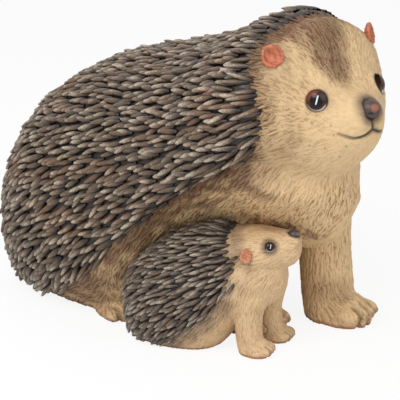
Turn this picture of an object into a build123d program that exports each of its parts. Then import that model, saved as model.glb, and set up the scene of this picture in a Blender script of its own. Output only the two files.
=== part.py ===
from build123d import *
from OCP.BRepClass3d import BRepClass3d_SolidClassifier
from OCP.TopAbs import TopAbs_IN
from math import copysign, cos, pi, radians, sin
import os

os.makedirs("parts", exist_ok=True)

# Where the mother and her young one stand. The origin is the middle of the ground under the figure.
mother_x = 20.6
mother_y = 0.0
baby_x = 28.6
baby_y = -42.0
baby_turn = 20

# The mother's trunk, measured from her own place: length ahead of it is plus
trunk_length = 140
trunk_half_width = 66
trunk_height = 168
chest_reach = 83
chest_half_width = 49
chest_height = 126
chest_lean = 12
neck_x = 45

# Her head, with its own place on the neck
head_pivot_x = 30
head_floor = 92
head_turn = -7.4
head_length = 75
head_half_width = 47
head_height = 85

# The quill coat over her back and its single quills
coat_length = 142
coat_half_width = 71
coat_height = 183
coat_floor = 1.2
quill_length = 15
quill_width = 4.4
quill_depth = 3.2
quill_root = 2.5
quill_spacing = 10.0
quill_row_spacing = 14.5
quill_clearance = 0.5
quill_edge_margin = 3.5
quill_lift = 17

# Her legs and paws
foreleg_height = 86
foreleg_radius = 15
left_foreleg_x = 49.5
left_foreleg_y = 29.5
right_foreleg_x = 20
right_foreleg_y = -12
paw_length = 17
paw_radius = 13.5
paw_forward = 12.5
paw_lift = 3
toe_length = 8.5
toe_radius = 4.0
toe_forward = 24
hind_foot_x = -41
hind_foot_y = 44
hind_foot_turn = 20
hind_foot_length = 16
hind_foot_radius = 11
hind_toe_length = 6.5
hind_toe_radius = 3.6
hind_toe_forward = 11

# Her ears, eyes and nose
ear_radius = 5.8
ear_depth = 3.0
ear_wall = 1.6
eye_radius = 5.2
nose_length = 5.6
nose_radius = 5.3

# The young one: trunk, head, coat, legs and small pieces
baby_length = 60
baby_half_width = 25
baby_height = 60
baby_chest_half_width = 21
baby_chest_height = 60
baby_head_floor = 40
baby_head_length = 65
baby_head_half_width = 18.5
baby_head_height = 27
baby_coat_length = 41
baby_coat_half_width = 29
baby_coat_height = 69
baby_quill_length = 11
baby_quill_width = 3.0
baby_quill_depth = 2.2
baby_quill_spacing = 6.2
baby_quill_row_spacing = 8.6
baby_foreleg_height = 34
baby_foreleg_radius = 7.2
baby_foreleg_y = 11.2
baby_right_foreleg_x = 40
baby_left_foreleg_x = 44
baby_paw_radius = 7.4
baby_paw_forward = 5.2
baby_paw_lift = 1.2
baby_toe_length = 4.2
baby_toe_radius = 2.1
baby_toe_forward = 10.5
baby_ear_radius = 4.6
baby_ear_depth = 2.2
baby_ear_wall = 1.2
baby_eye_radius = 2.6
baby_nose_length = 3.2
baby_nose_radius = 3.0

# Fits: the fine gap between two castings, and round a piece that is set in a socket
seam = 0.3
socket_gap = 0.2

# How far a cutting form reaches past the piece that it cuts
overrun = 10

# Counts and plain ratios
ring_points = 12
section_power = 2.2
toe_count = 4
quill_tip_share = 0.3
quill_fall_share = 0.3
ear_turn_shares = (3, 2, 1)
ear_stand_share = 0.67
toe_pitch_share = 1.5
toe_set_back_share = 0.5
coat_slices = 4
samples = 80

# Trunk: place along, half width, underside, height of the widest line, back,
# and how full the flank is below that line: 2.2 is round, 1.3 is tucked in
trunk_shares = [
    (-0.986, 0.15, 0.08, 0.18, 0.26, 2.2),
    (-0.950, 0.45, 0.00, 0.21, 0.40, 2.2),
    (-0.857, 0.73, -0.10, 0.24, 0.55, 2.2),
    (-0.700, 0.92, -0.11, 0.26, 0.69, 2.2),
    (-0.464, 1.00, -0.11, 0.28, 0.80, 2.2),
    (-0.220, 0.98, -0.06, 0.35, 0.865, 2.0),
    (-0.085, 0.92, 0.09, 0.45, 0.90, 1.5),
    (0.057, 0.86, 0.23, 0.54, 0.935, 1.3),
    (0.214, 0.79, 0.31, 0.60, 0.976, 1.3),
    (0.321, 0.74, 0.36, 0.64, 1.00, 1.4),
]
chest_shares = [
    (0.060, 0.61, 0.44, 0.74, 0.94, 1.5),
    (0.300, 1.00, 0.36, 0.81, 1.02, 1.3),
    (0.600, 0.93, 0.36, 0.79, 1.03, 1.3),
    (0.795, 0.75, 0.41, 0.74, 0.98, 1.4),
    (0.915, 0.51, 0.50, 0.70, 0.88, 1.7),
    (0.982, 0.26, 0.60, 0.70, 0.79, 2.2),
    (1.000, 0.10, 0.65, 0.70, 0.75, 2.2),
]
head_shares = [
    (0.133, 1.00, 0.02, 0.45, 0.94),
    (0.373, 0.98, 0.00, 0.45, 1.00),
    (0.533, 0.92, 0.02, 0.45, 0.98),
    (0.613, 0.86, 0.05, 0.44, 0.90),
    (0.693, 0.76, 0.08, 0.42, 0.77),
    (0.773, 0.61, 0.13, 0.41, 0.67),
    (0.867, 0.40, 0.20, 0.42, 0.625),
    (0.947, 0.26, 0.28, 0.45, 0.60),
    (1.000, 0.11, 0.39, 0.48, 0.565),
]
coat_shares = [
    (-1.000, 0.17, 0.07, 0.16, 0.27),
    (-0.965, 0.45, -0.01, 0.19, 0.40),
    (-0.873, 0.73, -0.08, 0.21, 0.535),
    (-0.704, 0.93, -0.10, 0.23, 0.665),
    (-0.458, 1.00, -0.10, 0.25, 0.765),
    (-0.197, 0.985, -0.07, 0.30, 0.825),
    (0.056, 0.945, 0.10, 0.42, 0.885),
    (0.211, 0.91, 0.23, 0.55, 0.94),
    (0.324, 0.87, 0.33, 0.62, 0.984),
    (0.408, 0.80, 0.42, 0.67, 1.00),
    (0.479, 0.68, 0.50, 0.70, 0.985),
    (0.540, 0.46, 0.57, 0.73, 0.945),
]

# Lower and front edge of the coat in side view, as shares of its length and height
coat_edge_shares = [
    (0.507, 1.06), (0.440, 0.97), (0.425, 0.88), (0.468, 0.78), (0.460, 0.69),
    (0.400, 0.60), (0.211, 0.497), (0.000, 0.35), (-0.197, 0.25), (-0.310, 0.153), (-0.465, 0.06),
]

# Foreleg: height, and then forward, inward and radius as shares of the leg's radius
foreleg_shares = [
    (-0.04, 0.40, 0.00, 0.94),
    (0.14, 0.17, 0.00, 0.94),
    (0.35, 0.03, 0.00, 0.93),
    (0.58, -0.03, 0.05, 0.97),
    (0.81, 0.03, 0.12, 1.16),
    (1.00, 0.03, 0.38, 1.25),
]

# Small pieces on the head: along, beside and above, as shares of the head's sizes
ear_place_share = (0.53, 0.73, 0.84)
eye_place_share = (0.745, 0.435, 0.605)
nose_place_share = (0.975, 0.00, 0.545)

# The young one's forms
baby_trunk_shares = [
    (-0.520, 0.30, 0.12, 0.30, 0.48),
    (-0.430, 0.66, -0.02, 0.30, 0.62),
    (-0.230, 0.93, -0.12, 0.30, 0.78),
    (0.000, 1.00, -0.15, 0.30, 0.90),
    (0.230, 0.96, -0.10, 0.30, 0.98),
    (0.430, 0.84, 0.07, 0.42, 1.00),
    (0.600, 0.68, 0.25, 0.62, 0.98),
]
baby_chest_shares = [
    (0.200, 0.90, 0.08, 0.50, 0.92),
    (0.550, 1.00, 0.25, 0.60, 0.98),
    (0.750, 0.82, 0.38, 0.68, 0.95),
    (0.870, 0.52, 0.48, 0.68, 0.88),
    (0.940, 0.22, 0.58, 0.68, 0.78),
]
baby_head_shares = [
    (0.400, 1.00, 0.02, 0.50, 0.94),
    (0.580, 0.98, 0.06, 0.50, 0.97),
    (0.740, 0.80, 0.15, 0.55, 0.98),
    (0.860, 0.54, 0.26, 0.63, 0.98),
    (0.940, 0.37, 0.36, 0.67, 0.97),
    (0.985, 0.19, 0.54, 0.74, 0.89),
]
baby_coat_shares = [
    (-0.800, 0.22, 0.09, 0.27, 0.44),
    (-0.690, 0.55, -0.01, 0.28, 0.57),
    (-0.480, 0.83, -0.10, 0.32, 0.71),
    (-0.130, 1.00, -0.13, 0.38, 0.86),
    (0.270, 0.99, -0.05, 0.44, 0.96),
    (0.580, 0.86, 0.20, 0.54, 1.00),
    (0.760, 0.72, 0.38, 0.64, 0.99),
    (0.930, 0.52, 0.52, 0.72, 0.965),
]
baby_coat_edge_shares = [
    (0.700, 1.10), (0.735, 0.94), (0.880, 0.80), (0.960, 0.71), (0.920, 0.62),
    (0.760, 0.50), (0.520, 0.31), (0.220, 0.16), (-0.050, 0.07),
]
baby_ear_place_share = (0.63, 0.95, 0.60)
baby_eye_place_share = (0.775, 0.53, 0.77)
baby_nose_place_share = (0.935, 0.00, 0.95)

# Frames: forward is X, left is Y, up is Z
mother_frame = Plane(origin=(mother_x, mother_y, 0), x_dir=(1, 0, 0), z_dir=(0, 0, 1))
baby_forward = (cos(radians(baby_turn)), sin(radians(baby_turn)), 0)
baby_frame = Plane(origin=(baby_x, baby_y, 0), x_dir=baby_forward, z_dir=(0, 0, 1))
head_forward = (cos(radians(head_turn)), sin(radians(head_turn)), 0)
head_frame = Plane(
    origin=(mother_x + head_pivot_x, mother_y, head_floor), x_dir=head_forward, z_dir=(0, 0, 1)
)
baby_head_frame = baby_frame.offset(baby_head_floor)


# Every section is divided alike, so the forms run smoothly from one to the next
ring_steps = [step / ring_points for step in range(ring_points + 1)]


# A point given in a frame, in the figure's own coordinates
def spot(frame, along, beside, above):
    return frame.from_local_coords(Vector(along, beside, above))


# One closed body section across a frame, from the middle of its underside round to there again
def section(frame, along, half_width, bottom, middle, top, fullness, lean, grow):
    points = []
    for step in range(ring_points):
        turn = 2 * pi * step / ring_points - pi / 2
        power = section_power if sin(turn) > 0 else fullness
        across = copysign(abs(cos(turn)) ** (2 / power), cos(turn))
        rise = copysign(abs(sin(turn)) ** (2 / power), sin(turn))
        reach = top - middle if rise > 0 else middle - bottom
        aside = (half_width + grow) * across - lean * min(rise, 0)
        points.append(Vector(aside, middle + (reach + grow) * rise))
    place = Plane(
        origin=spot(frame, along, 0, 0), x_dir=frame.y_dir, z_dir=frame.x_dir
    )
    with BuildSketch(place) as ring:
        with BuildLine():
            add(Edge.make_spline(points, parameters=ring_steps, periodic=True))
        make_face()
    return ring.sketch.face()


# All sections of a form, grown by a gap where the form is used to clear its neighbour
def sections(frame, shares, length, half_width, height, grow=0, lean=0):
    last = len(shares) - 1
    faces = []
    for number, (along, wide, bottom, middle, top, *fullness) in enumerate(shares):
        end = (number == last) - (number == 0)
        faces.append(section(
            frame, along * length + end * grow, wide * half_width,
            bottom * height, middle * height, top * height, *(fullness or [section_power]), lean, grow,
        ))
    return faces


def trunk(grow=0):
    return sections(mother_frame, trunk_shares, trunk_length, trunk_half_width, trunk_height, grow)


def chest(grow=0):
    return sections(
        mother_frame, chest_shares, chest_reach, chest_half_width, chest_height, grow, chest_lean
    )


def head(grow=0):
    return sections(head_frame, head_shares, head_length, head_half_width, head_height, grow)


def coat(grow=0):
    return sections(mother_frame, coat_shares, coat_length, coat_half_width, coat_height, grow)


def baby_trunk(grow=0):
    return sections(baby_frame, baby_trunk_shares, baby_length, baby_half_width, baby_height, grow)


def baby_chest(grow=0):
    return sections(
        baby_frame, baby_chest_shares, baby_length, baby_chest_half_width, baby_chest_height, grow
    )


def baby_head(grow=0):
    return sections(
        baby_head_frame, baby_head_shares, baby_head_length, baby_head_half_width, baby_head_height, grow
    )


def baby_coat(grow=0):
    return sections(
        baby_frame, baby_coat_shares, baby_coat_length, baby_coat_half_width, baby_coat_height, grow
    )


# Sections of an upright leg, from the ground up to where it enters the chest
def leg_sections(frame, forward, beside, height, radius, side, grow=0):
    last = len(foreleg_shares) - 1
    faces = []
    for number, (up, ahead, inward, wide) in enumerate(foreleg_shares):
        end = (number == last) - (number == 0)
        place = Plane(
            origin=spot(frame, forward + ahead * radius, beside - side * inward * radius,
                        up * height + end * grow),
            x_dir=frame.x_dir, z_dir=(0, 0, 1),
        )
        with BuildSketch(place) as ring:
            Circle(wide * radius + grow)
        faces.append(ring.sketch.face())
    return faces


# A rounded form with its long axis along the X of its place
def egg(place, long_radius, round_radius):
    with BuildPart() as form:
        with BuildSketch(place):
            with BuildLine():
                EllipticalCenterArc((0, 0), long_radius, round_radius, start_angle=0, arc_size=180)
                Line((-long_radius, 0), (long_radius, 0))
            make_face()
        revolve(axis=Axis(place.origin, place.x_dir))
    return form.part


# What is left of a cut piece: its one large solid, without any loose crumb
def main_solid(piece):
    return piece.solids().sort_by(SortBy.VOLUME)[-1]


# The toes of one paw, side by side across its front and dropping to the ground
def toes(paw_place, forward, length, radius, grow=0):
    forms = []
    for number in range(toe_count):
        side = number - (toe_count - 1) / 2
        place = Plane(
            origin=spot(
                paw_place, forward - abs(side) * radius * toe_set_back_share,
                side * radius * toe_pitch_share, radius,
            ),
            x_dir=paw_place.x_dir, z_dir=(0, 0, 1),
        )
        forms.append(egg(place, length + grow, radius + grow))
    return forms


# A round ear: a thick bowl that opens along the Z of its place
def bowl(place, radius, depth, wall):
    with BuildPart() as form:
        with BuildSketch(Plane(origin=place.origin, x_dir=place.x_dir, z_dir=-place.y_dir)):
            with BuildLine():
                TangentArc((0, -depth), (radius, 0), tangent=(1, 0))
                ThreePointArc((radius, 0), (radius - wall / 2, wall / 2), (radius - wall, 0))
                TangentArc((0, wall - depth), (radius - wall, 0), tangent=(1, 0))
                Line((0, wall - depth), (0, -depth))
            make_face()
        revolve(axis=Axis(place.origin, place.z_dir))
    return form.part


def ear_place(frame, share, length, half_width, height, side, depth):
    centre = spot(frame, share[0] * length, side * share[1] * half_width, share[2] * height)
    ahead, aside, up = ear_turn_shares
    facing = frame.x_dir * ahead + frame.y_dir * side * aside + frame.z_dir * up
    out = frame.y_dir * side + frame.z_dir
    return Plane(origin=centre + out * depth * ear_stand_share, x_dir=(0, 0, 1), z_dir=facing)


# One quill, lying along Z from its root: a flat diamond that tapers to its tip
def strand(length, width, depth, tip_share, root):
    with BuildPart() as quill:
        for rise, size in ((-root, 1), (length, tip_share)):
            across, up = size * width / 2, size * depth / 2
            with BuildSketch(Plane.XY.offset(rise)):
                Polygon((across, 0), (0, up), (-across, 0), (0, -up))
        loft(ruled=True)
    return quill.part


# Least distance between the middle lines of two quills, found on points along the second
def apart(first, second):
    reach = first[1] - first[0]
    near = []
    for share in (0, 0.25, 0.5, 0.75, 1):
        point = second[0] + (second[1] - second[0]) * share
        along = max(0, min(1, (point - first[0]).dot(reach) / reach.dot(reach)))
        near.append((first[0] + reach * along - point).length)
    return min(near)


# Even steps along a line of points, as shares of the line's own running
def even_steps(line, wanted):
    lengths = [0]
    for before, after in zip(line, line[1:]):
        lengths.append(lengths[-1] + (after - before).length)
    steps = []
    for share in wanted:
        number = next(n for n, length in enumerate(lengths) if length >= share * lengths[-1])
        steps.append(number / (len(line) - 1))
    return steps, lengths[-1]


# How many rows of quills a coat takes, with the places of the rows and of the borders between them
def quill_rows(outer, row_spacing):
    line = [outer.position_at(0.5, step / samples) for step in range(samples + 1)]
    rows = round(even_steps(line, [])[1] / row_spacing)
    middles = even_steps(line, [(row + 0.5) / rows for row in range(rows)])[0]
    borders = even_steps(line, [row / rows for row in range(rows + 1)])[0]
    return middles, borders


# Asks of many points whether they lie inside a form. The form is prepared only once.
class Inside:
    def __init__(self, form):
        self.classifier = BRepClass3d_SolidClassifier(form.wrapped)

    def holds(self, point):
        self.classifier.Perform(point.to_pnt(), 1e-6)
        return self.classifier.State() == TopAbs_IN or self.classifier.IsOnAFace()


# Places for the quills over a coat's outer face, in staggered rows.
# Each quill lies back along the coat, more steeply down towards its lower edge, and is lifted a little.
def quill_places(outer, edge, avoid, length, width, spacing, rows, height):
    kept = []
    places = []
    edge = Inside(edge)
    avoid = [Inside(form) for form in avoid]
    for row, along in enumerate(rows):
        ring = [outer.position_at(step / samples, along) for step in range(samples + 1)]
        count = max(1, round(even_steps(ring, [])[1] / spacing))
        shares = [(number + (row % 2) / 2) / count for number in range(count)]
        for turn in even_steps(ring, shares)[0]:
            root = outer.position_at(turn, along)
            out = outer.normal_at(turn, along)
            low = 1 - root.Z / height
            flow = Vector(-1, 0, -quill_fall_share - low * low)
            back = (flow - out * flow.dot(out)).normalized()
            lean = back * cos(radians(quill_lift)) + out * sin(radians(quill_lift))
            line = (root - lean * quill_root, root + lean * length)
            if line[1].Z < width or not edge.holds(root):
                continue
            if any(form.holds(point) for form in avoid for point in line):
                continue
            near = [other for other in kept if (other[0] - root).length < 2 * length]
            if any(apart(line, other) < width + quill_clearance for other in near):
                continue
            kept.append(line)
            places.append(Location(Plane(origin=root, x_dir=out.cross(lean), z_dir=lean)))
    return places


# The side view of a coat: its front and lower edge, closed round the rump a little above the ground
def coat_side(frame, shares, length, height, half_width, lower=0):
    side_view = Plane(
        origin=frame.origin, x_dir=frame.x_dir, z_dir=-frame.y_dir
    )
    edge = [(along * length, up * height - lower) for along, up in shares]
    foot = (shares[-1][0] * length - height / 5, coat_floor - lower)
    rear = -length - overrun
    with BuildPart() as region:
        with BuildSketch(side_view):
            with BuildLine():
                Spline(*edge, foot)
                Polyline(foot, (rear, coat_floor - lower), (rear, edge[0][1]), edge[0])
            make_face()
        extrude(amount=half_width + overrun, both=True)
    return region.part


# Trunk and chest of the mother, flat where she sits
with BuildPart() as mother_body:
    loft(trunk())
    loft(chest())
    split(bisect_by=Plane.XY, keep=Keep.TOP)
    add(main_solid(mother_body), mode=Mode.REPLACE)
mother_body.part.label = "mother_body"

# The room that her trunk takes from its neighbours
with BuildPart() as body_room:
    loft(trunk(seam))
    loft(chest(seam))

# Head on the neck
neck_cut = Plane(origin=(mother_x + neck_x + seam, mother_y, 0), x_dir=(0, 1, 0), z_dir=(1, 0, 0))
eye_places = []
for side in (1, -1):
    eye_places.append(spot(
        head_frame, eye_place_share[0] * head_length,
        side * eye_place_share[1] * head_half_width, eye_place_share[2] * head_height,
    ))
nose_place = Plane(
    origin=spot(head_frame, nose_place_share[0] * head_length, 0, nose_place_share[2] * head_height),
    x_dir=head_forward, z_dir=(0, 0, 1),
)
with BuildPart() as mother_head:
    loft(head())
    split(bisect_by=neck_cut, keep=Keep.TOP)
    add(body_room.part, mode=Mode.SUBTRACT)
    with Locations(*eye_places):
        Sphere(eye_radius + socket_gap, mode=Mode.SUBTRACT)
    add(egg(nose_place, nose_length + socket_gap, nose_radius + socket_gap), mode=Mode.SUBTRACT)
    add(main_solid(mother_head), mode=Mode.REPLACE)
mother_head.part.label = "mother_head"

with BuildPart() as mother_nose:
    add(egg(nose_place, nose_length, nose_radius))
mother_nose.part.label = "mother_nose"

with BuildPart() as mother_left_eye:
    with Locations(eye_places[0]):
        Sphere(eye_radius)
mother_left_eye.part.label = "mother_left_eye"

with BuildPart() as mother_right_eye:
    with Locations(eye_places[1]):
        Sphere(eye_radius)
mother_right_eye.part.label = "mother_right_eye"

with BuildPart() as head_room:
    loft(head(seam))

# The room that her coat takes from its neighbours
with BuildPart() as coat_room:
    loft(coat(seam))
    add(
        coat_side(mother_frame, coat_edge_shares, coat_length, coat_height, coat_half_width, seam),
        mode=Mode.INTERSECT,
    )

ear_places = []
for side in (1, -1):
    ear_places.append(ear_place(
        head_frame, ear_place_share, head_length, head_half_width, head_height, side, ear_depth,
    ))
with BuildPart() as mother_left_ear:
    add(bowl(ear_places[0], ear_radius, ear_depth, ear_wall))
    add(head_room.part, mode=Mode.SUBTRACT)
    add(coat_room.part, mode=Mode.SUBTRACT)
    add(main_solid(mother_left_ear), mode=Mode.REPLACE)
mother_left_ear.part.label = "mother_left_ear"

with BuildPart() as mother_right_ear:
    add(bowl(ear_places[1], ear_radius, ear_depth, ear_wall))
    add(head_room.part, mode=Mode.SUBTRACT)
    add(coat_room.part, mode=Mode.SUBTRACT)
    add(main_solid(mother_right_ear), mode=Mode.REPLACE)
mother_right_ear.part.label = "mother_right_ear"

# Forelegs: an upright leg with a broad paw and four toes
left_paw_place = Plane(
    origin=spot(mother_frame, left_foreleg_x + paw_forward, left_foreleg_y, paw_lift), x_dir=(1, 0, 0)
)
right_paw_place = Plane(
    origin=spot(mother_frame, right_foreleg_x + paw_forward, right_foreleg_y, paw_lift), x_dir=(1, 0, 0)
)
with BuildPart() as mother_left_foreleg:
    loft(leg_sections(mother_frame, left_foreleg_x, left_foreleg_y, foreleg_height, foreleg_radius, 1))
    add(egg(left_paw_place, paw_length, paw_radius))
    add(toes(left_paw_place, toe_forward - paw_forward, toe_length, toe_radius))
    add(body_room.part, mode=Mode.SUBTRACT)
    split(bisect_by=Plane.XY, keep=Keep.TOP)
    add(main_solid(mother_left_foreleg), mode=Mode.REPLACE)
mother_left_foreleg.part.label = "mother_left_foreleg"

with BuildPart() as mother_right_foreleg:
    loft(leg_sections(mother_frame, right_foreleg_x, right_foreleg_y, foreleg_height, foreleg_radius, -1))
    add(egg(right_paw_place, paw_length, paw_radius))
    add(toes(right_paw_place, toe_forward - paw_forward, toe_length, toe_radius))
    add(body_room.part, mode=Mode.SUBTRACT)
    split(bisect_by=Plane.XY, keep=Keep.TOP)
    add(main_solid(mother_right_foreleg), mode=Mode.REPLACE)
mother_right_foreleg.part.label = "mother_right_foreleg"

with BuildPart() as right_foreleg_room:
    loft(leg_sections(
        mother_frame, right_foreleg_x, right_foreleg_y, foreleg_height, foreleg_radius, -1, seam
    ))
    add(egg(right_paw_place, paw_length + seam, paw_radius + seam))
    add(toes(right_paw_place, toe_forward - paw_forward, toe_length, toe_radius, seam))


# Hind foot: a low rounded form with toes, its heel under the flank
def hind_foot_place(side):
    turn = radians(side * hind_foot_turn)
    return Plane(
        origin=spot(mother_frame, hind_foot_x, side * hind_foot_y, 0),
        x_dir=(cos(turn), sin(turn), 0), z_dir=(0, 0, 1),
    )


with BuildPart() as mother_left_hind_foot:
    add(egg(hind_foot_place(1), hind_foot_length, hind_foot_radius))
    add(toes(hind_foot_place(1), hind_toe_forward, hind_toe_length, hind_toe_radius))
    add(body_room.part, mode=Mode.SUBTRACT)
    split(bisect_by=Plane.XY, keep=Keep.TOP)
    add(main_solid(mother_left_hind_foot), mode=Mode.REPLACE)
mother_left_hind_foot.part.label = "mother_left_hind_foot"

with BuildPart() as mother_right_hind_foot:
    add(egg(hind_foot_place(-1), hind_foot_length, hind_foot_radius))
    add(toes(hind_foot_place(-1), hind_toe_forward, hind_toe_length, hind_toe_radius))
    add(body_room.part, mode=Mode.SUBTRACT)
    split(bisect_by=Plane.XY, keep=Keep.TOP)
    add(main_solid(mother_right_hind_foot), mode=Mode.REPLACE)
mother_right_hind_foot.part.label = "mother_right_hind_foot"

# The mother's coat before it is trimmed, and the side view that trims it
with BuildPart() as coat_form:
    loft(coat())
coat_face = coat_form.faces().sort_by(SortBy.AREA)[-1]
coat_region = coat_side(mother_frame, coat_edge_shares, coat_length, coat_height, coat_half_width)

# The young one's trunk, pressed against her flank and her right foreleg
with BuildPart() as baby_body:
    loft(baby_trunk())
    loft(baby_chest())
    add(body_room.part, mode=Mode.SUBTRACT)
    add(coat_room.part, mode=Mode.SUBTRACT)
    add(right_foreleg_room.part, mode=Mode.SUBTRACT)
    split(bisect_by=Plane.XY, keep=Keep.TOP)
    add(main_solid(baby_body), mode=Mode.REPLACE)
baby_body.part.label = "baby_body"

with BuildPart() as baby_body_room:
    loft(baby_trunk(seam))
    loft(baby_chest(seam))

baby_eye_places = []
for side in (1, -1):
    baby_eye_places.append(spot(
        baby_head_frame, baby_eye_place_share[0] * baby_head_length,
        side * baby_eye_place_share[1] * baby_head_half_width,
        baby_eye_place_share[2] * baby_head_height,
    ))
baby_nose_place = Plane(
    origin=spot(
        baby_head_frame, baby_nose_place_share[0] * baby_head_length, 0,
        baby_nose_place_share[2] * baby_head_height,
    ),
    x_dir=baby_forward, z_dir=(0, 0, 1),
)
with BuildPart() as baby_head_piece:
    loft(baby_head())
    add(baby_body_room.part, mode=Mode.SUBTRACT)
    add(body_room.part, mode=Mode.SUBTRACT)
    add(right_foreleg_room.part, mode=Mode.SUBTRACT)
    with Locations(*baby_eye_places):
        Sphere(baby_eye_radius + socket_gap, mode=Mode.SUBTRACT)
    add(
        egg(baby_nose_place, baby_nose_length + socket_gap, baby_nose_radius + socket_gap),
        mode=Mode.SUBTRACT,
    )
    add(main_solid(baby_head_piece), mode=Mode.REPLACE)
baby_head_piece.part.label = "baby_head"

with BuildPart() as baby_nose:
    add(egg(baby_nose_place, baby_nose_length, baby_nose_radius))
baby_nose.part.label = "baby_nose"

with BuildPart() as baby_left_eye:
    with Locations(baby_eye_places[0]):
        Sphere(baby_eye_radius)
    add(body_room.part, mode=Mode.SUBTRACT)
    add(right_foreleg_room.part, mode=Mode.SUBTRACT)
    add(main_solid(baby_left_eye), mode=Mode.REPLACE)
baby_left_eye.part.label = "baby_left_eye"

with BuildPart() as baby_right_eye:
    with Locations(baby_eye_places[1]):
        Sphere(baby_eye_radius)
baby_right_eye.part.label = "baby_right_eye"

with BuildPart() as baby_head_room:
    loft(baby_head(seam))

baby_ear_places = []
for side in (1, -1):
    baby_ear_places.append(ear_place(
        baby_head_frame, baby_ear_place_share, baby_head_length, baby_head_half_width,
        baby_head_height, side, baby_ear_depth,
    ))
with BuildPart() as baby_left_ear:
    add(bowl(baby_ear_places[0], baby_ear_radius, baby_ear_depth, baby_ear_wall))
    add(baby_head_room.part, mode=Mode.SUBTRACT)
    add(body_room.part, mode=Mode.SUBTRACT)
    add(right_foreleg_room.part, mode=Mode.SUBTRACT)
    add(main_solid(baby_left_ear), mode=Mode.REPLACE)
baby_left_ear.part.label = "baby_left_ear"

with BuildPart() as baby_right_ear:
    add(bowl(baby_ear_places[1], baby_ear_radius, baby_ear_depth, baby_ear_wall))
    add(baby_head_room.part, mode=Mode.SUBTRACT)
    add(main_solid(baby_right_ear), mode=Mode.REPLACE)
baby_right_ear.part.label = "baby_right_ear"

baby_left_paw_place = Plane(
    origin=spot(baby_frame, baby_left_foreleg_x + baby_paw_forward, baby_foreleg_y, baby_paw_lift),
    x_dir=baby_forward, z_dir=(0, 0, 1),
)
baby_right_paw_place = Plane(
    origin=spot(baby_frame, baby_right_foreleg_x + baby_paw_forward, -baby_foreleg_y, baby_paw_lift),
    x_dir=baby_forward, z_dir=(0, 0, 1),
)
with BuildPart() as baby_left_foreleg:
    loft(leg_sections(
        baby_frame, baby_left_foreleg_x, baby_foreleg_y, baby_foreleg_height, baby_foreleg_radius, 1
    ))
    with Locations(baby_left_paw_place):
        Sphere(baby_paw_radius)
    add(toes(
        baby_left_paw_place, baby_toe_forward - baby_paw_forward, baby_toe_length, baby_toe_radius
    ))
    add(baby_body_room.part, mode=Mode.SUBTRACT)
    add(right_foreleg_room.part, mode=Mode.SUBTRACT)
    split(bisect_by=Plane.XY, keep=Keep.TOP)
    add(main_solid(baby_left_foreleg), mode=Mode.REPLACE)
baby_left_foreleg.part.label = "baby_left_foreleg"

with BuildPart() as baby_right_foreleg:
    loft(leg_sections(
        baby_frame, baby_right_foreleg_x, -baby_foreleg_y, baby_foreleg_height, baby_foreleg_radius, -1
    ))
    with Locations(baby_right_paw_place):
        Sphere(baby_paw_radius)
    add(toes(
        baby_right_paw_place, baby_toe_forward - baby_paw_forward, baby_toe_length, baby_toe_radius
    ))
    add(baby_body_room.part, mode=Mode.SUBTRACT)
    split(bisect_by=Plane.XY, keep=Keep.TOP)
    add(main_solid(baby_right_foreleg), mode=Mode.REPLACE)
baby_right_foreleg.part.label = "baby_right_foreleg"

# The young one's coat before it is trimmed
with BuildPart() as baby_coat_form:
    loft(baby_coat())
baby_coat_face = baby_coat_form.faces().sort_by(SortBy.AREA)[-1]
baby_coat_region = coat_side(
    baby_frame, baby_coat_edge_shares, baby_coat_length, baby_coat_height, baby_coat_half_width
)

# Room that each coat and its quills need, so that the quills of one stay clear of the other
with BuildPart() as mother_reach:
    loft(coat(quill_depth))
    add(coat_region, mode=Mode.INTERSECT)
with BuildPart() as baby_reach:
    loft(baby_coat(quill_depth))
with BuildPart() as trunk_reach:
    loft(trunk(baby_quill_depth))
    loft(chest(baby_quill_depth))

# The mother's coat is a thick shell over her trunk, cast in slices from the rump to the crown
with BuildPart() as coat_shell:
    loft(coat())
    add(coat_region, mode=Mode.INTERSECT)
    add(body_room.part, mode=Mode.SUBTRACT)

quill = strand(quill_length, quill_width, quill_depth, quill_tip_share, quill_root)
coat_edge_inset = Location((-quill_edge_margin, 0, quill_edge_margin))
coat_rows, coat_borders = quill_rows(coat_face, quill_row_spacing)
coat_quills = quill_places(
    coat_face, coat_region.moved(coat_edge_inset).solid(),
    [baby_reach.part.solid(), head_room.part.solid()],
    quill_length, quill_width, quill_spacing, coat_rows, coat_height,
)
coat_cuts = []
for number in range(1, coat_slices):
    border = coat_borders[round(number * len(coat_rows) / coat_slices)]
    coat_cuts.append(Plane(origin=coat_face.position_at(0.5, border), z_dir=(1, 0, 0)))


# One slice of the coat with its own quills. The foremost lies over the head as well.
def coat_slice(number):
    low = coat_cuts[number - 1].origin.X if number > 0 else -float("inf")
    high = coat_cuts[number].origin.X if number < len(coat_cuts) else float("inf")
    with BuildPart() as piece:
        add(coat_shell.part)
        if number > 0:
            split(bisect_by=coat_cuts[number - 1], keep=Keep.TOP)
        if number < len(coat_cuts):
            split(bisect_by=coat_cuts[number], keep=Keep.BOTTOM)
        add([quill.moved(place) for place in coat_quills if low < place.position.X < high])
        if number == coat_slices - 1:
            add(head_room.part, mode=Mode.SUBTRACT)
        add(main_solid(piece), mode=Mode.REPLACE)
    return piece


mother_rump_quills = coat_slice(0)
mother_rump_quills.part.label = "mother_rump_quills"
mother_back_quills = coat_slice(1)
mother_back_quills.part.label = "mother_back_quills"
mother_shoulder_quills = coat_slice(2)
mother_shoulder_quills.part.label = "mother_shoulder_quills"
mother_crown_quills = coat_slice(3)
mother_crown_quills.part.label = "mother_crown_quills"

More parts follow.
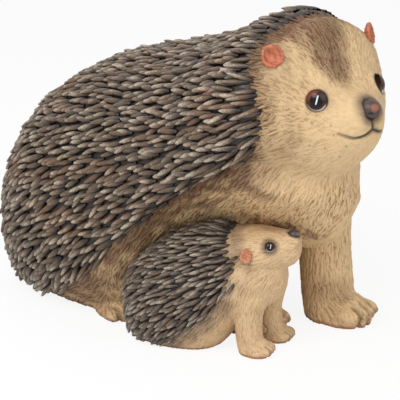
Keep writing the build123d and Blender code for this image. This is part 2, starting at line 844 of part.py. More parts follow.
# The young one's coat, with finer quills
baby_quill = strand(
    baby_quill_length, baby_quill_width, baby_quill_depth, quill_tip_share, quill_root
)
baby_coat_rows = quill_rows(baby_coat_face, baby_quill_row_spacing)[0]
baby_coat_quills = quill_places(
    baby_coat_face, baby_coat_region.moved(coat_edge_inset).solid(),
    [mother_reach.part.solid(), trunk_reach.part.solid(), right_foreleg_room.part.solid()],
    baby_quill_length, baby_quill_width, baby_quill_spacing, baby_coat_rows, baby_coat_height,
)
with BuildPart() as baby_quill_coat:
    loft(baby_coat())
    add(baby_coat_region, mode=Mode.INTERSECT)
    add([baby_quill.moved(place) for place in baby_coat_quills])
    add(baby_body_room.part, mode=Mode.SUBTRACT)
    add(baby_head_room.part, mode=Mode.SUBTRACT)
    add(body_room.part, mode=Mode.SUBTRACT)
    add(coat_room.part, mode=Mode.SUBTRACT)
    add(right_foreleg_room.part, mode=Mode.SUBTRACT)
    add(main_solid(baby_quill_coat), mode=Mode.REPLACE)
baby_quill_coat.part.label = "baby_quill_coat"
print("quills on the mother", len(coat_quills), "and on the young one", len(baby_coat_quills))

pieces = [
    mother_body, mother_head, mother_rump_quills, mother_back_quills, mother_shoulder_quills,
    mother_crown_quills, mother_left_ear, mother_right_ear,
    mother_left_eye, mother_right_eye, mother_nose, mother_left_foreleg, mother_right_foreleg,
    mother_left_hind_foot, mother_right_hind_foot,
    baby_body, baby_head_piece, baby_quill_coat, baby_left_ear, baby_right_ear,
    baby_left_eye, baby_right_eye, baby_nose, baby_left_foreleg, baby_right_foreleg,
]
for piece in pieces:
    export_step(piece.part, f"parts/{piece.part.label}.step")
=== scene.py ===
import math
import bmesh
import bpy
import numpy as np
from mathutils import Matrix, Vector, kdtree


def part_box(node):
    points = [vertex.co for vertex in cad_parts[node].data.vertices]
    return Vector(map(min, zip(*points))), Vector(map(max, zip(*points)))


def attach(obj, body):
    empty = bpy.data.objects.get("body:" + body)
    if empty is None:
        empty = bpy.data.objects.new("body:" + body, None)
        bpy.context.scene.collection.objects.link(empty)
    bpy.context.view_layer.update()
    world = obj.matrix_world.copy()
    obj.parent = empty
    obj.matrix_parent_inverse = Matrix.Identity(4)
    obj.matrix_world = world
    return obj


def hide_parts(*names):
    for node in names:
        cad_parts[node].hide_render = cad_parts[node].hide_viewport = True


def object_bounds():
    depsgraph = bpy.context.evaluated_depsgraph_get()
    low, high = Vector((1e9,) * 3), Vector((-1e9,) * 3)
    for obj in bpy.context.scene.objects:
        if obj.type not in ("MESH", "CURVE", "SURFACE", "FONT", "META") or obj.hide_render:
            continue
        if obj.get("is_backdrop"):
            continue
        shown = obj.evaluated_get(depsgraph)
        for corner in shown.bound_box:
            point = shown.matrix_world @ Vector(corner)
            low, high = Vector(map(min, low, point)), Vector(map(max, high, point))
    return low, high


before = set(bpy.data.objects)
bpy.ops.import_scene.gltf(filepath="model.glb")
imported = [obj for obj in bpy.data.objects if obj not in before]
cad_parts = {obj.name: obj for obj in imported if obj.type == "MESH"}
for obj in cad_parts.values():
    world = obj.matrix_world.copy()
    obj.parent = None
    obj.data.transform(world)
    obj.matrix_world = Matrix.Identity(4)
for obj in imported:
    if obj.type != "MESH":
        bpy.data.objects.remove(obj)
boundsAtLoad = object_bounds()
scene = bpy.context.scene
millimetre = 0.001
black, white = (0, 0, 0), (255, 255, 255)
far, tiny = 1e9, 1e-9
print("frame loaded")


# A colour given as it looks on a screen, 0 to 255
def paint(colour):
    parts = [channel / 255 for channel in colour]
    return [part / 12.92 if part <= 0.04045 else ((part + 0.055) / 1.055) ** 2.4 for part in parts]


# Sets a node's input, or links a value to it
def feed(target, item):
    if isinstance(item, Value):
        target.id_data.links.new(item.socket, target)
    elif target.type == "RGBA":
        target.default_value = (*paint(item), 1)
    else:
        target.default_value = item


def addNode(tree, kind, settings=None, inputs=None, output=0):
    made = tree.nodes.new(kind)
    for key, item in (settings or {}).items():
        setattr(made, key, item)
    for key, item in (inputs or {}).items():
        feed(made.inputs[key], item)
    return Value(made.outputs[output])


# Shader arithmetic: a socket that can be used in plain expressions
class Value:
    def __init__(self, socket):
        self.socket = socket

    def calculate(self, operation, first, second):
        return addNode(self.socket.id_data, "ShaderNodeMath", {"operation": operation}, {0: first, 1: second})

    def __add__(self, other):
        return self.calculate("ADD", self, other)

    def __sub__(self, other):
        return self.calculate("SUBTRACT", self, other)

    def __rsub__(self, other):
        return self.calculate("SUBTRACT", other, self)

    def __mul__(self, other):
        return self.calculate("MULTIPLY", self, other)

    def least(self, other):
        return self.calculate("MINIMUM", self, other)

    def most(self, other):
        return self.calculate("MAXIMUM", self, other)

    def ramp(self, low, high):
        return addNode(
            self.socket.id_data, "ShaderNodeMapRange", {"interpolation_type": "SMOOTHSTEP"},
            {"Value": self, "From Min": low, "From Max": high},
        )


class Finish:
    def __init__(self, name):
        self.material = bpy.data.materials.new(name)
        self.material.use_nodes = True
        self.tree = self.material.node_tree
        self.tree.nodes.clear()
        self.surface = self.node("ShaderNodeBsdfPrincipled")
        self.result = self.tree.nodes.new("ShaderNodeOutputMaterial").inputs[0]
        feed(self.result, self.surface)
        self.place = self.node("ShaderNodeTexCoord", output="Object")

    def node(self, kind, settings=None, inputs=None, output=0):
        return addNode(self.tree, kind, settings, inputs, output)

    def read(self, name):
        return self.node("ShaderNodeAttribute", {"attribute_name": name}, output="Fac")

    def noise(self, size, detail):
        return self.node("ShaderNodeTexNoise", {}, {
            "Vector": self.place, "Scale": 1 / (size * millimetre), "Detail": detail, "Roughness": 0.55,
        })

    def blend(self, factor, first, second):
        return self.node("ShaderNodeMix", {"data_type": "RGBA"}, {0: factor, 6: first, 7: second}, 2)

    def set(self, **values):
        for key, item in values.items():
            feed(self.surface.socket.node.inputs[key.replace("_", " ")], item)

    def close(self, colour, grain, roughness, specular, strength, distance):
        self.set(Base_Color=colour, Roughness=roughness, Specular_IOR_Level=specular)
        self.set(Normal=self.node("ShaderNodeBump", {}, {
            "Height": grain, "Strength": strength, "Distance": distance * millimetre,
        }))
        return self


# Meshes as arrays, in millimetres
def buildMesh(name, points, faces, scale=millimetre):
    mesh = bpy.data.meshes.new(name)
    mesh.from_pydata((points * scale).tolist(), [], faces.tolist(), shade_flat=False)
    return mesh


def addObject(name, data):
    made = bpy.data.objects.new(name, data)
    scene.collection.objects.link(made)
    return made


# A piece of the visual model: its points, faces and what its finish reads at each point
def addPiece(name, made, finish, replaced=()):
    points, faces, marks = made
    mesh = buildMesh(name, np.clip(points, *cadBox), faces)
    for key, values in marks.items():
        layer = mesh.attributes.new(key, "FLOAT", "POINT")
        layer.data.foreach_set("value", np.broadcast_to(values, len(points)).astype(np.float32))
    mesh.materials.append(finish.material)
    piece = addObject(name, mesh)
    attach(piece, "root")
    if replaced:
        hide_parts(*replaced)


def meshArrays(mesh, corners):
    points = np.zeros(len(mesh.vertices) * 3, np.float32)
    mesh.vertices.foreach_get("co", points)
    faces = np.zeros(len(mesh.loops), np.int32)
    mesh.loops.foreach_get("vertex_index", faces)
    return points.reshape(-1, 3).astype(float), faces.reshape(-1, corners)


# The CAD nodes as one set of triangles, with coinciding corners joined
def gather(nodes):
    points, faces, start = [], [], 0
    for node in nodes:
        found, triangles = meshArrays(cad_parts[node].data, 3)
        found = found / millimetre
        _, first, back = np.unique(np.round(found, 3), axis=0, return_index=True, return_inverse=True)
        points.append(found[first])
        faces.append(back.reshape(-1)[triangles] + start)
        start += len(first)
    return np.vstack(points), np.vstack(faces)


def normalsOf(points, faces):
    corner = points[faces]
    across = np.cross(corner[:, 2] - corner[:, 0], corner[:, -1] - corner[:, 1])
    return unit(np.stack([
        sum(np.bincount(column, across[:, axis], len(points)) for column in faces.T) for axis in range(3)
    ], 1))


# One skin of small squares over all that the triangles enclose
def remeshed(points, faces, voxel, grow):
    raw = addObject("raw", buildMesh("raw", points + normalsOf(points, faces) * grow, faces, 1))
    cast = raw.modifiers.new("cast", "REMESH")
    cast.mode = "VOXEL"
    cast.voxel_size = voxel
    graph = bpy.context.evaluated_depsgraph_get()
    used = [raw.data, bpy.data.meshes.new_from_object(raw.evaluated_get(graph))]
    arrays = meshArrays(used[1], 4)
    bpy.data.objects.remove(raw)
    for mesh in used:
        bpy.data.meshes.remove(mesh)
    return arrays


def smoothed(points, faces, steps, weight):
    first = faces.ravel()
    second = np.roll(faces, -1, axis=1).ravel()
    size = len(points)
    count = np.bincount(first, minlength=size) + np.bincount(second, minlength=size)
    points = points.copy()
    for _ in range(steps):
        total = np.stack([
            np.bincount(first, points[second, axis], size) + np.bincount(second, points[first, axis], size)
            for axis in range(3)
        ], 1)
        points += weight[:, None] * (total / count[:, None] - points)
    return points


# Fills the creases of a region with a soft web, and leaves what stands out
def filled(points, faces, region, steps):
    picked = faces[region[faces].all(axis=1)]
    used, back = np.unique(picked, return_inverse=True)
    back = back.reshape(picked.shape)
    part = points[used]
    border = np.bincount(back.ravel(), minlength=len(used)) < 4
    moved = smoothed(part, back, steps, np.where(border, 0, 0.5)) - part
    normals = normalsOf(part, back)
    points = points.copy()
    points[used] += normals * np.maximum(np.sum(moved * normals, 1), 0)[:, None]
    return points


# 0 at the first value, 1 at the second, and soft between them
def step(start, end, values):
    share = np.clip((values - start) / (end - start), 0, 1)
    return share * share * (3 - 2 * share)


def unit(vectors):
    return vectors / np.maximum(np.linalg.norm(vectors, axis=-1), tiny)[..., None]


def bothSides(place):
    return [(place[0], side * place[1], place[2]) for side in (1, -1)]


def distanceToLine(points, line):
    line = np.asarray(line, float)
    nearest = np.full(len(points), far)
    for start, end in zip(line, line[1:]):
        reach = end - start
        share = np.clip((points - start) @ reach / max(reach @ reach, tiny), 0, 1)
        gap = np.linalg.norm(points - start - share[:, None] * reach, axis=1)
        nearest = np.minimum(nearest, gap)
    return nearest


def distanceToPlaces(points, places):
    return np.min([np.linalg.norm(points - place, axis=1) for place in places], axis=0)


def runOf(line):
    return np.concatenate([[0], np.cumsum(np.linalg.norm(np.diff(line, axis=0), axis=1))])


def treeOf(points):
    tree = kdtree.KDTree(len(points))
    for number, point in enumerate(points):
        tree.insert(point, number)
    tree.balance()
    return tree


# Soft random values over space, from a few sine waves
def cloud(points, size, seed):
    source = np.random.default_rng(seed)
    total = np.zeros(len(points))
    for _ in range(7):
        direction = unit(source.normal(size=3))
        pitch = size * source.uniform(0.6, 1.5)
        total += np.sin(points @ direction * 2 * math.pi / pitch + source.uniform(0, 6.3))
    return np.clip(0.5 + total / 7, 0, 1)


def swell(points, place, radius, height):
    gap = np.linalg.norm(points - np.asarray(place, float), axis=1)
    return height * np.exp(-(gap / radius) ** 2)


# The CAD's box, drawn in by a hair, which no point of the visual model leaves
corners = np.array([[list(corner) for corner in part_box(node)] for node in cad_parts])
cadBox = (corners[:, 0].min(0) / millimetre + 0.02, corners[:, 1].max(0) / millimetre - 0.02)
cadBox[0][2] = 0


# A frame of its own: X forward, Y to the left, Z up
class Place:
    def __init__(self, origin, degrees=0):
        angle = math.radians(degrees)
        self.origin = np.array(origin, float)
        self.axes = np.array([
            [math.cos(angle), math.sin(angle), 0],
            [-math.sin(angle), math.cos(angle), 0],
            [0, 0, 1],
        ])

    def out(self, local):
        return self.origin + np.asarray(local, float) @ self.axes

    def into(self, points):
        return (points - self.origin) @ self.axes.T


places = {
    "mother": (20.6, 0.0, 0.0),
    "headPivot": (30.0, 0.0, 92.0),
    "headTurn": -7.4,
    "baby": (28.6, -42.0, 0.0),
    "babyTurn": 20.0,
    "babyHeadPivot": (0.0, 0.0, 40.0),
}
mother = Place(places["mother"])
motherHead = Place(mother.origin + places["headPivot"], places["headTurn"])
baby = Place(places["baby"], places["babyTurn"])
babyHead = Place(baby.origin + places["babyHeadPivot"], places["babyTurn"])


# Fur is sculpted as overlapping locks that follow the lie of the coat
def furLocks(points, normals, flow, length, width, settings):
    source = np.random.default_rng(settings["seed"])
    order = source.permutation(len(points))
    keys = np.floor(points[order] / settings["lockSpacing"]).astype(int)
    centres = order[np.unique(keys, axis=0, return_index=True)[1]]
    wanted = settings["lockCover"] * settings["lockSpacing"] ** 2 / (length[centres] * width[centres])
    centres = centres[source.uniform(size=len(centres)) < wanted]
    tree = treeOf(points)
    height = np.zeros(len(points))
    tone = np.full(len(points), 0.5)
    hair = np.full(len(points), 0.5)
    for centre in source.permutation(centres):
        size = source.uniform(0.75, 1.3)
        reach = length[centre] * size
        wide = width[centre] * source.uniform(0.8, 1.25)
        index = np.array([item[1] for item in tree.find_range(points[centre], reach / 2)])
        away = points[index] - points[centre]
        swing = source.normal() * 0.16
        lie = flow[centre]
        side = np.cross(normals[centre], lie)
        lie, side = lie + side * swing, side - lie * swing
        along = away @ lie / reach + 0.5
        across = away @ side / wide + source.normal() * 0.5 * (along - 0.5) ** 2
        taper = 1 - 0.6 * along
        value = np.clip(1 - (across / (0.5 * taper + 0.12)) ** 2, 0, 1) ** 0.7
        value *= np.clip(along * 2.4, 0, 1) * np.clip((1 - along) * 5, 0, 1) * source.uniform(0.65, 1)
        over = value > height[index]
        height[index] = np.where(over, value, height[index])
        tone[index] = np.where(over, source.uniform(), tone[index])
        aside = across * wide * 2 * math.pi
        wave = 0.9 * np.sin(along * reach * 0.45 + source.uniform(0, 6.3))
        lines = np.zeros(len(index))
        for pitch, turn, weight in ((1, wave, 1), (1.55, -wave, 0.8), (2.45, 0, 0.6)):
            shift = source.uniform(0, 6.3)
            lines += weight * np.sin(aside / (pitch * settings["strand"]) + shift + turn)
        hair[index] = np.where(over, 0.5 + lines / 4.4, hair[index])
    return height, tone, hair


# Guides of the fur's lie, given in a place of their own: a point, a direction, the locks' length and relief
def placedGuides(rows, place):
    rows = np.array(rows, float)
    return np.hstack([place.out(rows[:, :3]), rows[:, 3:6] @ place.axes, rows[:, 6:]])


def mirrored(rows):
    return rows + [(x, -y, z, ahead, -aside, *rest) for x, y, z, ahead, aside, *rest in rows if y]


# The lie of the fur between its guides
def furField(points, normals, guides):
    gap = np.linalg.norm(points[:, None] - guides[None, :, :3], axis=2)
    weight = 1 / (gap + 4) ** 3
    weight /= weight.sum(1)[:, None]
    flow = weight @ guides[:, 3:6]
    flow -= normals * np.sum(flow * normals, 1)[:, None]
    return unit(flow), weight @ guides[:, 6], weight @ guides[:, 7]


furPaint = {
    "light": (224, 192, 146),
    "wash": (146, 104, 66),
    "brown": (100, 69, 46),
    "soot": (62, 52, 48),
    # reddish brown of the painted shade where the casting meets the ground
    "groundShade": (150, 92, 62),
    "grainDepth": 0.5,
    "roughness": 0.6,
}


# Painted fur: tan, brown wash in the hollows, darker zones, painted shade where it meets the ground
def furFinish(name, settings):
    finish = Finish(name)
    lock, tone, zone, hair, wash = map(finish.read, ("lock", "tone", "zone", "hair", "wash"))
    grain = finish.noise(1.1, 4)
    patches = finish.noise(16, 3)
    hollow = (1 - lock).ramp(0.35, 1.0)
    stroke = (1 - hair + (grain - 0.5) * 0.2).ramp(0.42, 0.82)
    colour = finish.blend(tone * 0.096 + patches * 0.048, settings["light"], black)
    washed = (hollow * (wash * 0.45 + 0.03) + stroke * (wash * 0.85 + 0.1)).least(1)
    browned = (zone * (hollow * 0.25 + stroke * 0.3 + 0.78)).least(1)
    for factor, key in ((washed, "wash"), (browned, "brown"), (finish.read("groundShade"), "groundShade"),
                        (finish.read("soot"), "soot")):
        colour = finish.blend(factor, colour, settings[key])
    return finish.close(colour, grain, grain * 0.12 - lock * 0.06 + settings["roughness"], 0.35,
                        settings["grainDepth"], 0.3)


quillPaint = {
    # dark root colour: painted shade at the roots and undersides of the quills
    "deep": (34, 25, 19),
    "body": (92, 74, 57),
    "warm": (106, 74, 50),
    # pale tip colour: dry brush with a painted highlight
    "tip": (214, 200, 178),
    "roughness": 0.34,
}


# Painted quills: painted shade at the root and on the underside, warm in places, pale dry-brushed tips with a
# painted highlight along the top
def quillFinish(name, settings):
    finish = Finish(name)
    along, top, tint, warm = map(finish.read, ("along", "top", "tint", "warm"))
    grain = finish.noise(0.9, 4)
    body = finish.blend((warm * 1.2 + tint * 0.3 - 0.45).ramp(0, 1) * 0.8, settings["body"], settings["warm"])
    # painted shade: dark towards the root and on the underside of each quill
    colour = finish.blend(along.ramp(0.05, 0.5) * (top * 0.35 + 0.65), settings["deep"], body)
    # pale towards the tip and along the top side: dry brush and painted highlight
    dryBrushAndHighlight = (along + top * 0.75 + grain * 0.9 + tint * 0.4 - 1.72).ramp(0.05, 0.8)
    colour = finish.blend(dryBrushAndHighlight * 0.8, colour, settings["tip"])
    return finish.close(colour, grain, grain * 0.2 + settings["roughness"], 0.5, 0.2, 0.25)


# Catmull-Rom through the entries of one axis of an array
def curved(values, axis, count, closed):
    values = np.moveaxis(values, axis, 0)
    total = len(values)
    spans = total if closed else total - 1
    along = np.arange(spans * count + (0 if closed else 1)) / count
    first = np.minimum(along.astype(int), spans - 1)
    share = (along - first).reshape(-1, *([1] * (values.ndim - 1)))
    mode = "wrap" if closed else "clip"
    a, b, c, d = (np.take(values, first + offset, 0, mode=mode) for offset in (-1, 0, 1, 2))
    result = 0.5 * (
        2 * b + (c - a) * share + (2 * a - 5 * b + 4 * c - d) * share ** 2
        + (3 * b - a - 3 * c + d) * share ** 3
    )
    return np.moveaxis(result, 0, axis)


# Is a point of the side view behind and above the coat's edge
def inOutline(points, outline):
    inside = np.zeros(len(points), bool)
    for start, end in zip(outline, np.roll(outline, -1, axis=0)):
        crosses = (start[1] > points[:, 1]) != (end[1] > points[:, 1])
        height = np.where(abs(end[1] - start[1]) < tiny, tiny, end[1] - start[1])
        inside ^= crosses & (points[:, 0] < (end[0] - start[0]) * (points[:, 1] - start[1]) / height + start[0])
    return inside


# Squares of a grid of points that closes on itself along its rows
def gridFaces(rows, columns):
    index = np.arange(rows * columns).reshape(rows, columns)
    other = np.roll(index, -1, axis=1)
    return np.stack([index[:-1], other[:-1], other[1:], index[1:]], 2).reshape(-1, 4)


# One quill along Z: rounded, flattened, thickest before the middle, blunt at the tip
def quillShape(sides):
    profile = [(-0.10, 0.70), (0.12, 0.92), (0.34, 1.0), (0.56, 0.94), (0.74, 0.78), (0.88, 0.54), (0.97, 0.27)]
    turn = 2 * math.pi * np.arange(sides) / sides
    rings = [np.stack([np.cos(turn) * wide, np.sin(turn) * wide, np.full(sides, along)], 1)
             for along, wide in profile]
    points = np.vstack(rings + [np.array([[0, 0, 1.0]])])
    squares = gridFaces(len(profile), sides)
    last = np.arange(sides) + (len(profile) - 1) * sides
    cap = np.stack([last, np.roll(last, -1), np.full(sides, len(points) - 1)], 1)
    return points, np.vstack([squares[:, [0, 1, 2, 0, 2, 3]].reshape(-1, 3), cap])


# The faces of many copies of a shape, one after another
def copies(faces, size, count):
    return (faces + (np.arange(count) * size)[:, None, None]).reshape(-1, faces.shape[1])


# A shape as one strand that lies back over its root and rises a little from it
def strand(shape, root, out, back, rise, reach, wide, flat, curl=0):
    lean = back * math.cos(rise) + out * math.sin(rise)
    side = unit(np.cross(lean, out))
    up = np.cross(side, lean)
    along = shape[:, 2:]
    return (root + shape[:, :1] * wide * side + shape[:, 1:2] * wide * flat * up
            + along * reach * lean - along ** 2 * reach * curl * up)


coatFloor = 1.2


# A quill coat: a form through closed rings, ended by an edge that is drawn in the side view
class Coat:
    def __init__(self, place, sizes, shares, edgeShares, quills):
        self.place, self.quills, self.height = place, quills, sizes["height"]
        length, sink, power, count = sizes["length"], sizes["sink"], 2 / 2.2, 12
        turn = 2 * math.pi * np.arange(count) / count - math.pi / 2
        across, rise = (np.sign(wave) * np.abs(wave) ** power for wave in (np.cos(turn), np.sin(turn)))
        rings = []
        for along, wide, bottom, middle, top in shares:
            reach = np.where(rise > 0, (top - middle) * self.height, (middle - bottom) * self.height)
            rings.append(np.stack([
                np.full(count, along * length), across * (wide * sizes["halfWidth"] - sink),
                middle * self.height + rise * (reach - sink),
            ], 1))
        self.grid = place.out(curved(curved(np.array(rings), 1, 20, True), 0, 16, False))
        self.local = place.into(self.grid)
        around = np.roll(self.grid, -1, axis=1) - np.roll(self.grid, 1, axis=1)
        normals = unit(np.cross(around, np.gradient(self.grid, axis=0)))
        outward = self.grid - self.grid.mean(axis=1, keepdims=True)
        self.normals = normals * np.where(np.sum(normals * outward, axis=2, keepdims=True) < 0, -1, 1)
        edge = [(along * length, up * self.height) for along, up in edgeShares]
        edge.append((edge[-1][0] - self.height / 5, coatFloor))
        self.edge = curved(np.array(edge), 0, 10, False)
        rear = -length - 20
        outline = np.vstack([self.edge, [(rear, coatFloor), (rear, self.edge[0][1])]])
        sideView = self.local.reshape(-1, 3)[:, ::2]
        self.covered = inOutline(sideView, outline).reshape(self.grid.shape[:2])

    def edgeGap(self, local):
        flat = local.reshape(-1, 3) * (1, 0, 1)
        return distanceToLine(flat, np.insert(self.edge, 1, 0, axis=1)).reshape(local.shape[:-1])

    # The edge as a line on the form itself, on both sides
    def edgeLines(self):
        lines = []
        for half in np.split(self.local, 2, axis=1):
            flat = half.reshape(-1, 3)
            line = []
            for x, z in self.edge[::3]:
                gap = (flat[:, 0] - x) ** 2 + (flat[:, 2] - z) ** 2
                if gap.min() < 36:
                    line.append([x, flat[np.argmin(gap)][1], z])
            lines.append(np.array(line))
        return lines

    # The coat's ground between the quills, drawn in along its edge towards the skin below
    def drawIn(self, skinTree):
        border = step(self.quills["border"], 0, self.edgeGap(self.local))
        self.ground = self.grid - self.normals * self.quills["groundSink"]
        for row, column in zip(*np.nonzero(border > 0.02)):
            nearest = np.array(skinTree.find(self.ground[row, column])[0])
            reach = nearest - self.normals[row, column] * 1.5 - self.ground[row, column]
            if np.linalg.norm(reach) < 16:
                self.ground[row, column] += reach * border[row, column]

    # Quills in staggered rows, each lying back along the coat
    def quillField(self, blocked=None):
        settings, grid = self.quills, self.grid
        source = np.random.default_rng(settings["seed"])
        run = runOf(grid[:, grid.shape[1] // 2])
        rows = int(run[-1] / settings["rowSpacing"])
        shape, shapeFaces = quillShape(settings["sides"])
        made, tint = [], []
        for row in range(rows):
            ringNumber = np.interp((row + 0.5) / rows * run[-1], run, np.arange(len(run)))
            ring = grid[int(ringNumber)]
            around = runOf(np.vstack([ring, ring[:1]]))
            count = max(3, int(around[-1] / settings["spacing"]))
            for number in range(count):
                share = (number + (row % 2) / 2 + source.uniform(-0.2, 0.2)) / count
                column = int(np.interp(share % 1 * around[-1], around, np.arange(len(around)))) % grid.shape[1]
                line = ringNumber + source.uniform(-0.22, 0.22) * len(run) / rows
                line = int(np.clip(line, 0, len(grid) - 1))
                root, local, out = grid[line, column], self.local[line, column], self.normals[line, column]
                if root[2] < settings["lowest"] or not self.covered[line, column] or (blocked and blocked(root)):
                    continue
                lowness = 1 - local[2] / self.height
                fall = settings["fall"] + lowness * lowness * settings["fallLow"]
                flow = np.array([-1, 0, -fall]) @ self.place.axes
                back = unit(flow - out * (flow @ out))
                back = unit(back + np.cross(out, back) * source.normal() * settings["stray"])
                rise = math.radians(settings["rise"] + source.normal() * 4)
                near = step(settings["edgeReach"], 0, self.edgeGap(local))
                reach = settings["length"] * source.uniform(0.85, 1.18) * (1 + near * settings["edgeGrow"])
                wide = settings["width"] / 2 * source.uniform(0.88, 1.12) * (1 - near * 0.18)
                foot = self.ground[line, column] + out * (settings["groundSink"] - settings["sink"])
                made.append(strand(shape, foot, out, back, rise, reach, wide, settings["flat"], settings["curl"]))
                tint.append(source.uniform())
        count = len(made)
        print("quills", count)
        points = np.vstack(made)
        points[:, 2] = np.maximum(points[:, 2], 0.3)
        return points, copies(shapeFaces, len(shape), count), {
            "along": np.tile(shape[:, 2], count), "top": np.tile(shape[:, 1] * 0.5 + 0.5, count),
            "tint": np.repeat(tint, len(shape)), "warm": cloud(points, settings["warmSize"], settings["seed"] + 1),
        }

    def groundMesh(self):
        keep = (self.covered & (self.grid[:, :, 2] > self.quills["groundFloor"])).ravel()
        points = self.ground.reshape(-1, 3)
        points[:, 2] = np.maximum(points[:, 2], 0.2)
        faces = gridFaces(*self.grid.shape[:2])
        used, back = np.unique(faces[keep[faces].all(axis=1)], return_inverse=True)
        points = points[used]
        # the ground between the quills takes the dark root colour: painted shade
        return points, back.reshape(-1, 4), {"along": 0.12, "top": 0.3, "tint": 0.4, "warm": cloud(points, 20, 9)}

    def dress(self, animal, nodes, finish, blocked=None):
        addPiece(animal + "Quills", self.quillField(blocked), finish, nodes)
        addPiece(animal + "CoatGround", self.groundMesh(), finish)


# Toes of one paw: the clefts between them, and the claws at their tips
def toeMarks(points, place, paw):
    local = place.into(points)
    aside, pitch = local[:, 1], paw["pitch"]
    nearest = np.clip(np.round(aside / pitch), -1, 1) * pitch
    front = step(paw["reach"] * 0.40, paw["reach"] * 0.62, local[:, 0])
    front *= step(paw["top"] * 1.5, paw["top"] * 0.9, local[:, 2]) * step(2.3 * pitch, 1.9 * pitch, abs(aside))
    cleft = np.exp(-((aside - nearest) / (pitch * 0.20)) ** 2) * front
    claws = np.zeros(len(points))
    for toe in (-1.5, -0.5, 0.5, 1.5):
        here = (abs(aside - toe * pitch) < pitch * 0.2) & (abs(local[:, 2] - paw["top"] * 0.45) < paw["top"] * 0.2)
        here &= (local[:, 0] > 0) & (local[:, 0] < paw["reach"] * 1.3)
        if here.any():
            tip = points[here][np.argmax(local[here, 0])]
            gap = np.linalg.norm((points - tip) * (1, 1, 0.7), axis=1)
            claws = np.maximum(claws, step(pitch * 0.30, pitch * 0.16, gap))
    return cleft, claws, cleft * paw["depth"]


pawSettings = {
    "foreleg": {"pitch": 6.0, "reach": 20.0, "top": 11.0, "depth": 1.5},
    "hind": {"pitch": 5.4, "reach": 17.5, "top": 7.2, "depth": 1.1},
    "young": {"pitch": 3.15, "reach": 9.5, "top": 5.4, "depth": 0.8},
}


def eachPaw(points, own, paws):
    found = [toeMarks(points, Place(own.out((x, y, 0)), turn), pawSettings[kind]) for x, y, turn, kind in paws]
    return [np.maximum.reduce(marks) for marks in zip(*found)]


# One casting: the solids melted together, softened less at paws and more at eyes, filled at the neck
def castSkin(animal, nodes, own, head, settings):
    eyes = [f"{animal}_{side}_eye" for side in ("left", "right")]
    points, faces = remeshed(*gather(nodes + eyes), settings["voxel"], settings["grow"])
    print(animal, "skin", len(points))
    local = own.into(points)
    softness = 0.26 + 0.24 * step(*settings["pawReach"], distanceToPlaces(local, settings["pawMiddles"]))
    points = smoothed(points, faces, settings["smoothing"], softness)
    eyeGap = distanceToPlaces(head.into(points), bothSides(settings["eye"]))
    points = smoothed(points, faces, settings["eyeSmoothing"], 0.5 * step(*settings["eyeReach"], eyeGap))
    height, reach, start = settings["neck"]
    neck = (abs(local[:, 2] - height) < reach) & (local[:, 0] > start)
    points = filled(points, faces, neck, settings["neckFill"])
    return smoothed(points, faces, settings["neckSmoothing"], np.where(neck, 0.5, 0)), faces


# Where the line from a point along a direction leaves the skin
def onSkin(points, origin, direction, width):
    away = points - origin
    along = away @ direction
    across = np.linalg.norm(away - along[:, None] * direction, axis=1)
    return origin + direction * along[across < width].max()


# Sets the eyes: a dip with a lid round it for each ball, calm fur and dark paint about it
def setEyes(points, relief, soot, head, settings):
    balls = []
    for place in bothSides(settings["eye"]):
        gaze = unit(np.array(settings["gaze"]) * (1, np.sign(place[1]), 1)) @ head.axes
        surface = onSkin(points, head.out(place) - gaze * settings["probe"], gaze, settings["probeWidth"])
        balls.append((surface - gaze * settings["ballDepth"], gaze))
        away = points - surface
        deep = away @ gaze
        across = np.linalg.norm(away - deep[:, None] * gaze, axis=1)
        here = step(*settings["depthReach"], abs(deep))
        middle, width, height = settings["lid"]
        outer, inner, depth = settings["dip"]
        shape = np.exp(-((across - middle) / width) ** 2) * height - step(outer, inner, across) * depth
        points = points + gaze * (shape * here)[:, None]
        outer, inner, share = settings["calm"]
        relief = relief * (1 - share * step(outer, inner, across) * here)
        middle, outer, inner = settings["shade"]
        soot = np.maximum(soot, step(outer, inner, abs(across - middle)) * here * 0.8)
    return points, relief, soot, balls


# Carves fur and mouth line into the skin, and flattens it at the ground
def carved(points, normals, lock, hair, relief, mouthGap, settings):
    relief = relief * (1 - 0.9 * step(*settings["mouthCalm"], mouthGap))
    height = (lock - 0.35) * relief + (hair - 0.5) * np.minimum(relief, settings["strandRelief"]) * 1.5
    width, depth = settings["mouthGroove"]
    points = points + normals * (height - step(width, 0.2, mouthGap) * depth)[:, None]
    points[:, 2] = np.maximum(points[:, 2], 0)
    return points


# Lays the fur of one casting, and sets its eyes and mouth in it
def dressSkin(points, normals, guides, head, soot, mouthGap, settings):
    flow, length, relief = furField(points, normals, guides)
    width = length * settings["lockWidthShare"] + settings["lockWidthMore"]
    lock, tone, hair = furLocks(points, normals, flow, length * settings["lockLonger"], width, settings)
    print("fur laid")
    points, relief, soot, balls = setEyes(points, relief, soot, head, settings)
    points = carved(points, normals, lock, hair, relief, mouthGap, settings)
    return points, {"lock": lock, "tone": tone, "hair": hair}, soot, balls


# Distance to a mouth line that is given for one side
def distanceToMouth(local, line):
    return np.minimum(*(distanceToLine(local, np.array(line) * (1, side, 1)) for side in (1, -1)))


eyeSettings = {
    "iris": (58, 34, 26),
    "pupil": (10, 9, 10),
    "corner": (124, 58, 40),
    "rim": (204, 196, 184),
    # white of the painted highlight stroke
    "eyeHighlight": (239, 241, 243),
}


# A painted eye: black pupil, dark iris, red-brown upper corner and a white stroke that is a painted highlight
def eyeFinish(name, settings):
    finish = Finish(name)
    grain = finish.noise(0.5, 2)
    reach = (finish.read("reach") + grain * 0.06).ramp(0.50, 0.60)
    colour = finish.blend(reach, settings["pupil"], settings["iris"])
    for key in ("corner", "rim", "eyeHighlight"):
        colour = finish.blend(finish.read(key), colour, settings[key])
    finish.set(Coat_Weight=0.15)
    return finish.close(colour, grain, grain * 0.05 + 0.2, 0.2, 0.03, 0.05)


